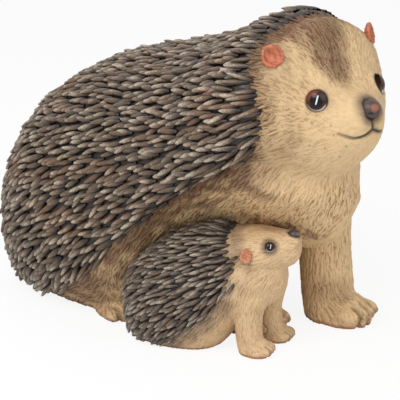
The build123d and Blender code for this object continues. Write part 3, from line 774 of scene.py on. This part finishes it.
# The visible cap of an eyeball set in the skin, round a gaze axis
def eyeCap(centre, gaze, radius, reach, handed, warm):
    rings, sides = 28, 56
    side = unit(np.cross((0, 0, 1.0), gaze)) * handed
    up = np.cross(gaze, side) * handed
    spread = np.repeat(np.arange(rings + 1) / rings, sides)
    angle = np.tile(2 * math.pi * np.arange(sides) / sides, rings + 1)
    turn = math.asin(reach / radius) * spread[:, None]
    aside = np.cos(angle)[:, None] * side + np.sin(angle)[:, None] * up
    points = centre + (gaze * np.cos(turn) + aside * np.sin(turn)) * radius
    across, above = np.cos(angle) * spread, np.sin(angle) * spread
    return points, gridFaces(rings + 1, sides)[:, [0, 3, 2, 1]], {
        "reach": spread,
        # a slanted white stroke above the middle: painted highlight
        "eyeHighlight": step(0.075, 0.02, abs(across + 0.02 + above * 0.2)) * step(0.42, 0.3, abs(above - 0.12)),
        "corner": (step(0.52, 0.66, spread) * step(0.94, 0.84, spread)
                   * step(0.25, 0.7, above * 0.62 + across * 0.78) * warm),
        "rim": step(0.70, 0.79, spread) * step(0.93, 0.87, spread) * step(0.15, 0.55, -above),
    }


eyePaint = eyeFinish("eyePaint", eyeSettings)


def addEyes(animal, balls, settings):
    for side, name, (centre, gaze) in zip((1, -1), ("left", "right"), balls):
        cap = eyeCap(centre, gaze, settings["ballRadius"], settings["ballReach"], side, settings["warmCorner"])
        addPiece(f"{animal}_{name}_eyeball", cap, eyePaint, [f"{animal}_{name}_eye"])


# Mother: one painted casting over trunk, head, legs and feet
motherNodes = [
    "mother_body", "mother_head", "mother_left_foreleg", "mother_right_foreleg",
    "mother_left_hind_foot", "mother_right_hind_foot",
]
motherSettings = {
    "voxel": 0.64,
    "grow": 0.45,
    "smoothing": 34,
    "pawReach": (16, 24),
    "pawMiddles": [(62.0, 29.5, 6.0), (32.5, -12.0, 6.0), (-34.0, 47.0, 4.0), (-34.0, -47.0, 4.0)],
    "paws": [(62.0, 29.5, 0, "foreleg"), (32.5, -12.0, 0, "foreleg"),
             (-41.0, 44.0, 20, "hind"), (-41.0, -44.0, -20, "hind")],
    "neck": (93, 36, 14),
    "neckFill": 360,
    "neckSmoothing": 12,
    "seed": 3,
    "strand": 1.6,
    "strandRelief": 0.45,
    "lockSpacing": 1.4,
    "lockWidthShare": 0.30,
    "lockWidthMore": 0.8,
    "lockLonger": 1.0,
    "lockCover": 4.2,
    "mouthCalm": (4, 1.5),
    "mouthGroove": (1.5, 0.8),
    "eye": (55.9, 20.4, 51.4),
    "eyeSmoothing": 80,
    "eyeReach": (13, 8),
    "gaze": (0.62, 0.78, 0.12),
    "probe": 12,
    "probeWidth": 3.0,
    "depthReach": (9, 6),
    "lid": (6.0, 0.9, 0.75),
    "dip": (5.4, 4.2, 2.2),
    "calm": (8.5, 6, 0.85),
    "shade": (4.9, 1.5, 0.3),
    "ballDepth": 5.2,
    "ballRadius": 6.9,
    "ballReach": 5.6,
    "warmCorner": 1.0,
}

# Guides in the head's place
headGuides = mirrored([
    (70, 0, 54, -1.0, 0.0, 0.5, 4.0, 0.10), (58, 0, 70, -0.6, 0.0, 0.9, 6.0, 0.30),
    (44, 0, 84, -1.0, 0.0, 0.6, 8.0, 0.42), (48, 24, 74, -0.7, 0.5, 0.6, 7.0, 0.36),
    (42, 44, 55, -1.0, 0.4, 0.2, 8.0, 0.45), (48, 42, 34, -0.9, 0.4, -0.4, 8.0, 0.40),
    (60, 27, 34, -0.8, 0.6, -0.2, 5.0, 0.16), (69, 13, 36, -0.8, 0.7, 0.0, 4.0, 0.08),
    (66, 0, 14, -0.6, 0.0, -0.8, 6.0, 0.22), (54, 30, 14, -0.7, 0.4, -0.7, 8.0, 0.40),
    (58, 20, 62, -0.6, 0.5, 0.7, 5.0, 0.24),
])
# the same on trunk and legs, in the mother's place
bodyGuides = mirrored([
    (66, 38, 84, -0.3, 0.1, -1.0, 11, 0.75), (36, 50, 92, -0.6, 0.0, -0.8, 12, 0.85),
    (0, 56, 44, -0.8, 0.0, -0.6, 12, 0.80), (-50, 60, 14, -0.8, 0.0, -0.5, 11, 0.75),
    (-28, 50, 6, 1.0, 0.2, -0.4, 5, 0.30),
]) + [
    (82, 0, 84, -0.1, 0.0, -1.0, 11, 0.75), (68, 0, 58, -0.3, 0.0, -1.0, 12, 0.85),
    (20, 0, 30, -0.4, 0.0, -0.9, 11, 0.80), (50, 42, 60, 0.0, 0.0, -1.0, 9, 0.55),
    (62, 26, 45, 0.05, 0.0, -1.0, 9, 0.50), (50, 16, 40, 0.0, 0.0, -1.0, 9, 0.55),
    (70, 28, 14, 0.8, 0.0, -0.6, 6, 0.30), (20, -12, 40, 0.0, 0.0, -1.0, 9, 0.55),
]
# Mouth line: down from the nose and back along each cheek, seen from the front
motherMouth = [(0, 0, 41), (0, 0, 36), (0, 4.5, 34), (0, 8, 33), (0, 11, 32.6), (0, 14, 33.8), (0, 17, 35.2)]
# Swells and hollows on both sides of head and chest: place, radius, height
headSwells = [
    ((63, 15, 34), 9, 1.2), ((59, 15, 61), 7, 1.0), ((66, 10, 47), 6, -1.0),
    ((50, 34, 14), 17, -3.6), ((32, 38, 66), 11, 3.0),
]
chestSwell = ((72, 28, 70), 19, -4.5)

skin, skinFaces = castSkin("mother", motherNodes, mother, motherHead, motherSettings)
normals = normalsOf(skin, skinFaces)
headLocal, ownLocal = motherHead.into(skin), mother.into(skin)
onFace = step(30, 42, headLocal[:, 0]) * step(-6, 6, headLocal[:, 2])
shape = swell(headLocal, (70, 0, 26), 7, 0.8)
for local, swells in ((headLocal, headSwells), (ownLocal, [chestSwell])):
    for place, radius, height in swells:
        for spot in bothSides(place):
            shape += swell(local, spot, radius, height)
motherCleftShade, motherClaws, sink = eachPaw(skin, mother, motherSettings["paws"])
shape += motherClaws * 0.2 - sink
skin += normals * shape[:, None]
normals = normalsOf(skin, skinFaces)
headLocal = motherHead.into(skin)
mouthGap = distanceToMouth(headLocal * (0, 1, 1), motherMouth) + np.where(headLocal[:, 0] < 60, 50, 0)
guides = np.vstack([placedGuides(headGuides, motherHead), placedGuides(bodyGuides, mother)])
skin, fur, soot, eyeballs = dressSkin(skin, normals, guides, motherHead, skin[:, 0] * 0, mouthGap, motherSettings)

nosePlace = motherHead.out((73.1, 0, 46.3))
noseGap = np.linalg.norm(skin - nosePlace, axis=1)
aside = abs(headLocal[:, 1])
soot = np.maximum.reduce([
    soot, step(1.25, 0.45, mouthGap) * (step(20, 4, aside) * 0.55 + 0.45),
    step(2.6, 0.6, mouthGap) * step(9, 1, aside) * 0.6, step(11.5, 5.2, noseGap) * 0.85, motherClaws * 0.45,
])

motherCoatSizes = {"length": 142.0, "halfWidth": 71.0, "height": 183.0, "sink": 1.6}
# Rings of the coat as shares of its sizes: along, half width, bottom, middle, top
motherCoatShares = [
    (-1.006, 0.04, 0.147, 0.162, 0.177),
    (-1.000, 0.17, 0.07, 0.16, 0.27), (-0.965, 0.45, -0.01, 0.19, 0.40), (-0.873, 0.73, -0.08, 0.21, 0.535),
    (-0.704, 0.93, -0.10, 0.23, 0.665), (-0.458, 1.00, -0.10, 0.25, 0.765), (-0.197, 0.985, -0.07, 0.30, 0.825),
    (0.056, 0.945, 0.10, 0.42, 0.885), (0.211, 0.91, 0.23, 0.55, 0.94), (0.324, 0.87, 0.33, 0.62, 0.984),
    (0.408, 0.80, 0.42, 0.67, 1.00), (0.479, 0.68, 0.50, 0.70, 0.985), (0.540, 0.46, 0.57, 0.73, 0.945),
]
motherEdgeShares = [
    (0.455, 1.06), (0.400, 0.97), (0.405, 0.88), (0.462, 0.78), (0.460, 0.69),
    (0.400, 0.60), (0.211, 0.497), (0.000, 0.35), (-0.197, 0.25), (-0.310, 0.153), (-0.465, 0.06),
]
motherQuills = {
    "seed": 5,
    "spacing": 4.1,
    "rowSpacing": 5.6,
    "length": 9.8,
    "width": 3.3,
    "flat": 0.85,
    "rise": 15,
    "curl": 0.05,
    "sink": 0.4,
    "stray": 0.16,
    "fall": 0.3,
    "fallLow": 1.0,
    "lowest": 4.0,
    "edgeReach": 14,
    "edgeGrow": 0.35,
    "sides": 8,
    "warmSize": 26,
    "border": 9,
    "groundSink": 0.9,
    "groundFloor": 2.5,
}
motherCoat = Coat(mother, motherCoatSizes, motherCoatShares, motherEdgeShares, motherQuills)
treeStep = 3
motherTree = treeOf(skin[::treeStep])
motherEdges = motherCoat.edgeLines()
edgeGap = np.minimum(*(
    distanceToLine(skin, [motherTree.find(mother.origin + point)[0] for point in line]) for line in motherEdges
))

# Brown: paint on forehead, breast and wrist; browner low on the belly; brown paint with painted shade along the
# coat's edge and behind the ears
headLocal = motherHead.into(skin)
mottle = cloud(skin, 22, 11)
patchHalf = np.interp(headLocal[:, 0], [28, 34, 42, 50, 60], [36, 30, 21, 12, 4])
streaks = cloud(headLocal * (0.18, 1, 0.18), 5, 14) - 0.5
forehead = step(1.4, 0.35, abs(headLocal[:, 1] + 3.5) / patchHalf + (mottle - 0.5) * 0.2 + streaks * 0.4)
forehead *= step(50, 64, headLocal[:, 2])
fringe = cloud(ownLocal * (0.3, 1, 0.45), 6, 15) - 0.5
# brown below the coat's edge: brown paint with painted shade under the overhanging quills
edgeBrownAndShade = step(30, 3, edgeGap + (mottle - 0.5) * 10 + fringe * 16) * (1 - onFace * 0.55)
# brown behind the ears under the crown quills: paint with painted shade
behindEarBrownAndShade = step(12, 1, edgeGap) * onFace * (0.3 + 0.4 * step(58, 74, headLocal[:, 2]))
belly = step(70, 20, ownLocal[:, 2]) * step(46, 20, ownLocal[:, 0]) * step(-40, 0, ownLocal[:, 0]) * 0.45
ragged = (cloud(skin, 7, 31) - 0.5) * 9
tuft = step(8, 1, ragged + distanceToLine(ownLocal, [(44, -26, 66), (57, -17, 62), (66, -6, 60)])) * 0.75
wrist = step(12, 3, distanceToLine(ownLocal, [(60, 18, 20), (63, 24, 19)])) * 0.4
# the clefts between the toes are browned: painted shade
zone = np.clip(np.maximum.reduce([forehead, edgeBrownAndShade, behindEarBrownAndShade, belly, tuft, wrist, motherCleftShade * 0.8]), 0, 1)
muzzle = step(30, 12, np.linalg.norm((headLocal - (68, 0, 34)) * (1, 0.8, 1), axis=1))
forelegs = step(78, 60, ownLocal[:, 2]) * step(38, 50, ownLocal[:, 0])
wash = np.clip(0.34 + 0.45 * (1 - onFace) + forehead * 0.5 + (mottle - 0.5) * 0.3
               - muzzle * 0.28 - forelegs * 0.28, 0.03, 1)

specks = np.zeros(len(skin))
source = np.random.default_rng(21)
for _ in range(16):
    x, side, y, z = (source.uniform(48, 72), source.choice([-1, 1]), source.uniform(6, 34), source.uniform(24, 52))
    nearest = skin[np.argmin(np.linalg.norm(skin - motherHead.out((x, side * y, z)), axis=1))]
    specks = np.maximum(specks, step(0.8, 0.3, np.linalg.norm(skin - nearest, axis=1)))

motherFur = furFinish("motherFurPaint", furPaint)
addPiece("motherFur", (skin, skinFaces, fur | {
    # painted shade where the casting meets the ground
    "wash": wash, "zone": zone, "groundShade": step(3.2, 0.9, ownLocal[:, 2]) * 0.8,
    "soot": np.maximum(soot, specks * 0.6 * onFace),
}), motherFur, motherNodes)
print("mother skin done")

ruffSettings = {
    "pitch": 2.6,
    "rows": 4,
    "length": 5.0,
    "width": 2.3,
    "flat": 0.45,
    "rise": 14,
    "lowest": 62,
    "washMore": 0.35,
    "zoneMore": 0.2,
}


# Pointed tufts of fur along the coat's edge, lying back over the first quills
def ruff(line, normals, settings, seed):
    source = np.random.default_rng(seed)
    shape, shapeFaces = quillShape(8)
    across, above, along = shape.T
    run = runOf(line)
    made, hair, tone, roots = [], [], [], []
    for number in range(int(run[-1] / settings["pitch"]) * settings["rows"]):
        share = source.uniform(0, run[-1])
        place = np.array([np.interp(share, run, line[:, axis]) for axis in range(3)])
        place = place + source.normal(size=3) * 1.6 + np.array([1.0, 0, 0]) * source.uniform(-2.5, 4)
        nearest, index, _ = motherTree.find(place)
        out = normals[index * treeStep]
        flow = np.array([-0.9, 0, -0.15 - 0.5 * (place[2] < 120)]) + source.normal(size=3) * 0.3
        back = unit(flow - out * (flow @ out))
        rise = math.radians(settings["rise"] + source.normal() * 6)
        size = source.uniform(0.6, 1.3)
        wide = settings["width"] / 2 * size * (1 - along * 0.45)[:, None]
        made.append(strand(
            shape, np.array(nearest) - out * 0.5, out, back, rise, settings["length"] * size, wide, settings["flat"],
        ))
        hair.append(0.5 + 0.35 * np.sin(across * 4 + number))
        tone.append(source.uniform())
        roots.append(motherTree.find(made[-1][0])[1] * treeStep)
    count = len(shape)
    return np.vstack(made), copies(shapeFaces, count, len(made)), {
        "lock": np.tile(0.5 + 0.5 * above * (1 - along * 0.3), len(made)), "hair": np.concatenate(hair),
        "tone": np.repeat(tone, count), "wash": np.repeat(wash[roots], count) + settings["washMore"],
        "zone": np.repeat(zone[roots], count) + settings["zoneMore"], "groundShade": 0, "soot": 0,
    }


skinNormals = normalsOf(skin, skinFaces)
for name, line, seed in zip(("Left", "Right"), motherEdges, (41, 42)):
    line = mother.origin + line[line[:, 2] > ruffSettings["lowest"]]
    addPiece(f"mother{name}Ruff", ruff(line, skinNormals, ruffSettings, seed), motherFur)
addEyes("mother", eyeballs, motherSettings)

nosePaint = {
    "dark": (70, 56, 52),
    # the lighter red-brown of a painted highlight on the nose
    "noseHighlight": (146, 84, 62),
    "hollow": (39, 34, 32),
    "roughness": 0.35,
}


def noseFinish(name, settings):
    finish = Finish(name)
    grain = finish.noise(1.2, 3)
    # a lighter patch on the nose: painted highlight
    noseHighlight = (finish.read("noseHighlight") + (grain - 0.5) * 0.5).ramp(0.25, 0.8)
    colour = finish.blend(noseHighlight, settings["dark"], settings["noseHighlight"])
    colour = finish.blend(finish.read("hollow"), colour, settings["hollow"])
    return finish.close(colour, grain, grain * 0.15 + settings["roughness"], 0.5, 0.25, 0.2)


# A rounded nose with two nostrils, looking along its head
def noseForm(middle, axes, length, radius):
    rows, columns = 40, 64
    turn = (math.pi * np.arange(rows + 1) / rows)[:, None]
    around = 2 * math.pi * np.arange(columns) / columns
    ball = np.stack([
        -np.cos(turn) * np.ones(columns), np.sin(turn) * np.cos(around), np.sin(turn) * np.sin(around),
    ], 2).reshape(-1, 3)
    nostrils = [unit(np.array(place)) for place in bothSides((0.62, 0.62, -0.28))]
    hollow = step(0.42, 0.12, distanceToPlaces(ball * (1, 1, 1.5), np.array(nostrils) * (1, 1, 1.5)))
    groove = step(0.16, 0.02, abs(ball[:, 1])) * step(0.2, -0.3, ball[:, 2]) * step(0, 0.5, ball[:, 0])
    form = ball * (1 - 0.22 * hollow - 0.12 * groove)[:, None] * (length, radius * 1.06, radius * 0.94)
    # a lighter patch on the upper front, a little to the right: painted highlight
    noseHighlight = step(0.78, 0.1, np.linalg.norm(ball - unit(np.array([0.8, -0.25, 0.35])), axis=1))
    marks = {"noseHighlight": noseHighlight, "hollow": np.maximum(hollow, groove * 0.6)}
    return middle + form @ axes, gridFaces(rows + 1, columns), marks


addPiece("motherNose", noseForm(nosePlace, motherHead.axes, 5.4, 5.2), noseFinish("nosePaint", nosePaint),
         ["mother_nose"])

earSettings = {
    "mother": {"colour": (196, 112, 78), "slot": "mother_skin", "voxel": 0.35, "depth": 0.5, "full": False},
    "baby": {"colour": (214, 138, 104), "slot": "young_skin", "voxel": 0.25, "depth": 0.3, "full": True},
    "roughness": 0.45,
    "fullSize": 0.8,
}


def hullOf(points):
    form = bmesh.new()
    for point in points:
        form.verts.new(point)
    made = bmesh.ops.convex_hull(form, input=form.verts)
    bmesh.ops.delete(form, geom=made["geom_interior"], context="VERTS")
    mesh = bpy.data.meshes.new("hull")
    form.to_mesh(mesh)
    form.free()
    arrays = meshArrays(mesh, 3)
    bpy.data.meshes.remove(mesh)
    return arrays


# Ears keep the shape of the CAD bowls, softened, with a scatter of small folds
def addEars(animal, settings):
    for side in ("left", "right"):
        node = f"{animal}_{side}_ear"
        points, faces = gather([node])
        if settings["full"]:
            middle = points.mean(axis=0)
            points, faces = hullOf(middle + (points - middle) * earSettings["fullSize"])
        points, faces = remeshed(points, faces, settings["voxel"], 0.25)
        points = smoothed(points, faces, 14, np.full(len(points), 0.5))
        folds = cloud(points, 2.6, 5)
        points = points + normalsOf(points, faces) * ((folds - 0.5) * settings["depth"])[:, None]
        finish = Finish(node + "_cupPaint")
        grain = finish.noise(1.0, 3)
        # the cups go darker towards black in the hollows of their folds: painted shade
        colour = finish.blend((1 - finish.read("folds").ramp(0.2, 0.8)) * 0.38, settings["colour"], black)
        finish.close(colour, grain, grain * 0.2 + earSettings["roughness"], 0.5, 0.3, 0.25)
        addPiece(node + "_cup", (points, faces, {"folds": folds}), finish, [node])


addEars("mother", earSettings["mother"])
motherCoat.drawIn(motherTree)
motherCoat.dress("mother", [
    "mother_rump_quills", "mother_back_quills", "mother_shoulder_quills", "mother_crown_quills",
], quillFinish("motherQuillPaint", quillPaint))
print("mother coat done")

# The young one, made the same way
babyNodes = ["baby_body", "baby_head", "baby_left_foreleg", "baby_right_foreleg"]
babySettings = {
    "voxel": 0.43,
    "grow": 0.4,
    "smoothing": 21,
    "pawReach": (11 - tiny, 11),
    "pawMiddles": [(45.2, -11.2, 3), (49.2, 11.2, 3)],
    "paws": [(45.2, -11.2, places["babyTurn"], "young"), (49.2, 11.2, places["babyTurn"], "young")],
    "neck": (38, 16, 20),
    "neckFill": 290,
    "neckSmoothing": 0,
    "seed": 4,
    "strand": 1.2,
    "strandRelief": 0.35,
    "lockSpacing": 1.0,
    "lockWidthShare": 0.30,
    "lockWidthMore": 0.45,
    "lockLonger": 1.3,
    "lockCover": 4.2,
    "mouthCalm": (2.4, 1.0),
    "mouthGroove": (1.0, 0.4),
    "eye": (50.4, 9.8, 20.8),
    "eyeSmoothing": 54,
    "eyeReach": (7, 4),
    "gaze": (0.45, 0.85, 0.28),
    "probe": 6,
    "probeWidth": 1.6,
    "depthReach": (5, 3),
    "lid": (3.0, 0.6, 0.35),
    "dip": (2.8, 2.0, 1.2),
    "calm": (4.4, 3.0, 0.8),
    "shade": (0, 6.2, 2.6),
    "ballDepth": 2.0,
    "ballRadius": 3.2,
    "ballReach": 2.7,
    "warmCorner": 0.0,
}
babyPaint = dict(furPaint, light=(218, 186, 144), wash=(150, 110, 74), brown=(104, 82, 66))
babyGuides = mirrored([
    (60, 0, 66, -1.0, 0.0, 0.1, 3.0, 0.08), (48, 0, 67, -1.0, 0.0, 0.0, 4.0, 0.16),
    (44, 14, 56, -1.0, 0.2, -0.2, 4.5, 0.22), (56, 7, 56, -0.8, 0.4, -0.3, 3.5, 0.10),
    (52, 0, 46, -0.4, 0.0, -0.9, 4.5, 0.22), (46, 0, 30, 0.1, 0.0, -1.0, 6.0, 0.35),
    (38, 16, 36, -0.3, 0.1, -1.0, 6.0, 0.40), (20, 26, 20, -0.7, 0.1, -0.7, 7.0, 0.45),
    (-10, 24, 8, -0.9, 0.0, -0.4, 6.0, 0.40), (42, 12, 14, 0.1, 0.0, -1.0, 5.0, 0.25),
    (48, 12, 3, 0.9, 0.0, -0.4, 3.0, 0.14),
])
babyMouth = [(62.0, 0, 23), (61.8, 2.4, 19), (61.0, 3.8, 15.5), (58.5, 5.4, 13.0), (56.0, 6.4, 12.6)]

young, youngFaces = castSkin("baby", babyNodes, baby, babyHead, babySettings)
normals = normalsOf(young, youngFaces)
youngCleftShade, youngClaws, sink = eachPaw(young, baby, babySettings["paws"])
# the skin is drawn in under the ears, so that they stay free
earMiddles = [np.mean(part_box(f"baby_{side}_ear"), axis=0) / millimetre for side in ("left", "right")]
drawn = sum(swell(young, middle, 3.8, 2.8) for middle in earMiddles)
young += normals * (youngClaws * 0.25 - sink - drawn)[:, None]
normals = normalsOf(young, youngFaces)
headLocal = babyHead.into(young)
mouthGap = distanceToMouth(headLocal, babyMouth)
soot = np.maximum(step(1.5, 0.5, mouthGap) * 0.9, youngClaws * 0.55)
young, fur, soot, eyeballs = dressSkin(
    young, normals, placedGuides(babyGuides, baby), babyHead, soot, mouthGap, babySettings,
)

babyCoatSizes = {"length": 41.0, "halfWidth": 29.0, "height": 69.0, "sink": 1.0}
babyCoatShares = [
    (-0.812, 0.06, 0.235, 0.270, 0.305),
    (-0.800, 0.22, 0.09, 0.27, 0.44), (-0.690, 0.55, -0.01, 0.28, 0.57), (-0.480, 0.83, -0.10, 0.32, 0.71),
    (-0.130, 1.00, -0.13, 0.38, 0.86), (0.270, 0.99, -0.05, 0.44, 0.96), (0.580, 0.86, 0.20, 0.54, 1.00),
    (0.760, 0.72, 0.38, 0.64, 0.99), (0.930, 0.52, 0.52, 0.72, 0.965),
]
babyEdgeShares = [
    (0.700, 1.10), (0.735, 0.94), (0.880, 0.80), (0.960, 0.71), (0.920, 0.62),
    (0.760, 0.50), (0.520, 0.31), (0.220, 0.16), (-0.050, 0.07),
]
babyQuills = dict(
    motherQuills, seed=6, spacing=3.0, rowSpacing=4.3, length=8.0, width=2.5, rise=11, lowest=2.5, edgeReach=7,
    edgeGrow=0.25, warmSize=18, border=4, groundSink=0.6, groundFloor=1.5, sink=0.3, stray=0.13,
)
babyCoat = Coat(baby, babyCoatSizes, babyCoatShares, babyEdgeShares, babyQuills)
youngLocal = baby.into(young)
edgeGap = np.minimum(*(distanceToLine(youngLocal, line) for line in babyCoat.edgeLines()))
mottle = cloud(young, 14, 12)
bridge = step(6, 1, distanceToLine(headLocal, [(44, 0, 28), (54, 0, 27)])) * 0.35
# brown below the coat's edge: brown paint with painted shade under the overhanging quills
edgeBrownAndShade = step(9, 1, edgeGap + (mottle - 0.5) * 5) * 0.8
youngNose = babyHead.out((60.8, 0, 25.6))
addPiece("babyFur", (young, youngFaces, fur | {
    "wash": np.clip(0.42 + (mottle - 0.5) * 0.3, 0, 1),
    # the clefts between the toes are browned: painted shade
    "zone": np.clip(np.maximum.reduce([edgeBrownAndShade, bridge, youngCleftShade * 0.8]), 0, 1),
    # painted shade where the casting meets the ground
    "groundShade": step(2.4, 0.7, young[:, 2]) * 0.8,
    "soot": np.maximum(soot, step(5.0, 3.0, np.linalg.norm(young - youngNose, axis=1)) * 0.6),
}), furFinish("babyFurPaint", babyPaint), babyNodes)
addEyes("baby", eyeballs, babySettings)
# the lighter grey of a painted highlight on the young one's nose
youngNosePaint = noseFinish("youngNosePaint", dict(nosePaint, dark=(66, 60, 60), noseHighlight=(96, 84, 80)))
addPiece("babyNose", noseForm(youngNose, baby.axes, 3.0, 2.9), youngNosePaint, ["baby_nose"])
addEars("baby", earSettings["baby"])


# Quills of the young one stop where her mother's body begins
def inMother(point):
    _, number, gap = motherTree.find(point)
    index = number * treeStep
    return gap < 2.2 or (point - skin[index]) @ skinNormals[index] < 0


babyCoat.drawIn(treeOf(young[::2]))
babyCoat.dress("baby", ["baby_quill_coat"], quillFinish("babyQuillPaint", dict(
    # the dark root colour is painted shade, the pale tip colour dry brush with a painted highlight
    quillPaint, deep=(32, 26, 22), body=(92, 77, 63), warm=(98, 78, 62), tip=(198, 184, 164),
)), inMother)
print("young one done")

stage = {
    "azimuth": 40.0,
    "elevation": 18.0,
    "distance": 900.0,
    "target": (-5.0, -10.0, 88.0),
    "targetPixel": (205, 162),
    "pixelSize": 0.55,
    "pixels": 400,
    "sensor": 36.0,
    # azimuth, elevation, size and power of each lamp
    "lamps": {"key": (10, 48, 600, 5.0), "fill": (85, 30, 700, 1.6), "rim": (-110, 50, 500, 1.2)},
    "lampTarget": (0, 0, 80),
    "skyLight": 0.5,
    "floorWhite": 0.88,
    "floorColour": (245.5, 245.5, 245.5),
    "floorHalf": 3000,
    "floorDepth": -0.4,
}


# A pale floor that stays white to the eye and keeps the soft shadow
def makeFloor():
    finish = Finish("floorPaint")
    grain = finish.noise(40, 2)
    finish.set(Base_Color=finish.blend(grain * 0.0043, stage["floorColour"], black), Roughness=0.9)
    seen = finish.node("ShaderNodeLightPath", output="Is Camera Ray")
    glow = finish.node("ShaderNodeEmission", {}, {"Color": white, "Strength": 1.0})
    feed(finish.result, finish.node("ShaderNodeMixShader", {}, {
        0: seen * stage["floorWhite"], 1: finish.surface, 2: glow,
    }))
    half, depth = stage["floorHalf"], stage["floorDepth"]
    corners = np.array([(-half, -half, depth), (half, -half, depth), (half, half, depth), (-half, half, depth)])
    floor = addObject("floor", buildMesh("floor", corners, np.array([[0, 1, 2, 3]])))
    floor.data.materials.append(finish.material)
    floor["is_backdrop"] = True


# Direction from the object towards a viewer at this azimuth and elevation
def viewBack(azimuth, elevation):
    turn, rise = math.radians(azimuth), math.radians(elevation)
    return Vector((math.sin(turn) * math.cos(rise), -math.cos(turn) * math.cos(rise), math.sin(rise)))


# Puts an object at a distance from a target, looking at it
def aim(made, target, azimuth, elevation):
    back = viewBack(azimuth, elevation)
    made.location = Vector(target) * millimetre + back * stage["distance"] * millimetre
    made.rotation_euler = back.to_track_quat("Z", "Y").to_euler()


makeFloor()
for name, (azimuth, elevation, size, power) in stage["lamps"].items():
    light = bpy.data.lights.new(name + "Lamp", "AREA")
    light.shape = "DISK"
    light.size = size * millimetre
    light.energy = power
    aim(addObject(name + "Lamp", light), stage["lampTarget"], azimuth, elevation)

world = bpy.data.worlds.new("studio")
scene.world = world
world.use_nodes = True
tree = world.node_tree
tree.nodes.clear()
seen = addNode(tree, "ShaderNodeLightPath", output="Is Camera Ray")
rays = seen.socket.node.outputs
bright = seen.most(Value(rays["Is Transmission Ray"])).most(Value(rays["Is Glossy Ray"]) * 0.8)
sky = addNode(tree, "ShaderNodeBackground", {}, {
    0: white, 1: bright * (1 - stage["skyLight"]) + stage["skyLight"],
})
feed(tree.nodes.new("ShaderNodeOutputWorld").inputs[0], sky)

scene.view_settings.view_transform = "Standard"
lens = bpy.data.cameras.new("camera")
lens.sensor_width = stage["sensor"]
lens.lens = stage["sensor"] * stage["distance"] / (stage["pixels"] * stage["pixelSize"])
lens.shift_x = (stage["pixels"] / 2 - stage["targetPixel"][0]) / stage["pixels"]
lens.shift_y = (stage["targetPixel"][1] - stage["pixels"] / 2) / stage["pixels"]
lens.clip_start = 0.05
lens.clip_end = 20
scene.camera = addObject("camera", lens)
aim(scene.camera, mother.origin + stage["target"], stage["azimuth"], stage["elevation"])
print("stage set")

sizes = {"load": boundsAtLoad, "finish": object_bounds()}


def plain(value):
    if isinstance(value, dict):
        return {key: plain(item) for key, item in value.items()}
    if isinstance(value, (list, tuple, Vector)):
        return [plain(item) for item in value]
    return value


plain(sizes)
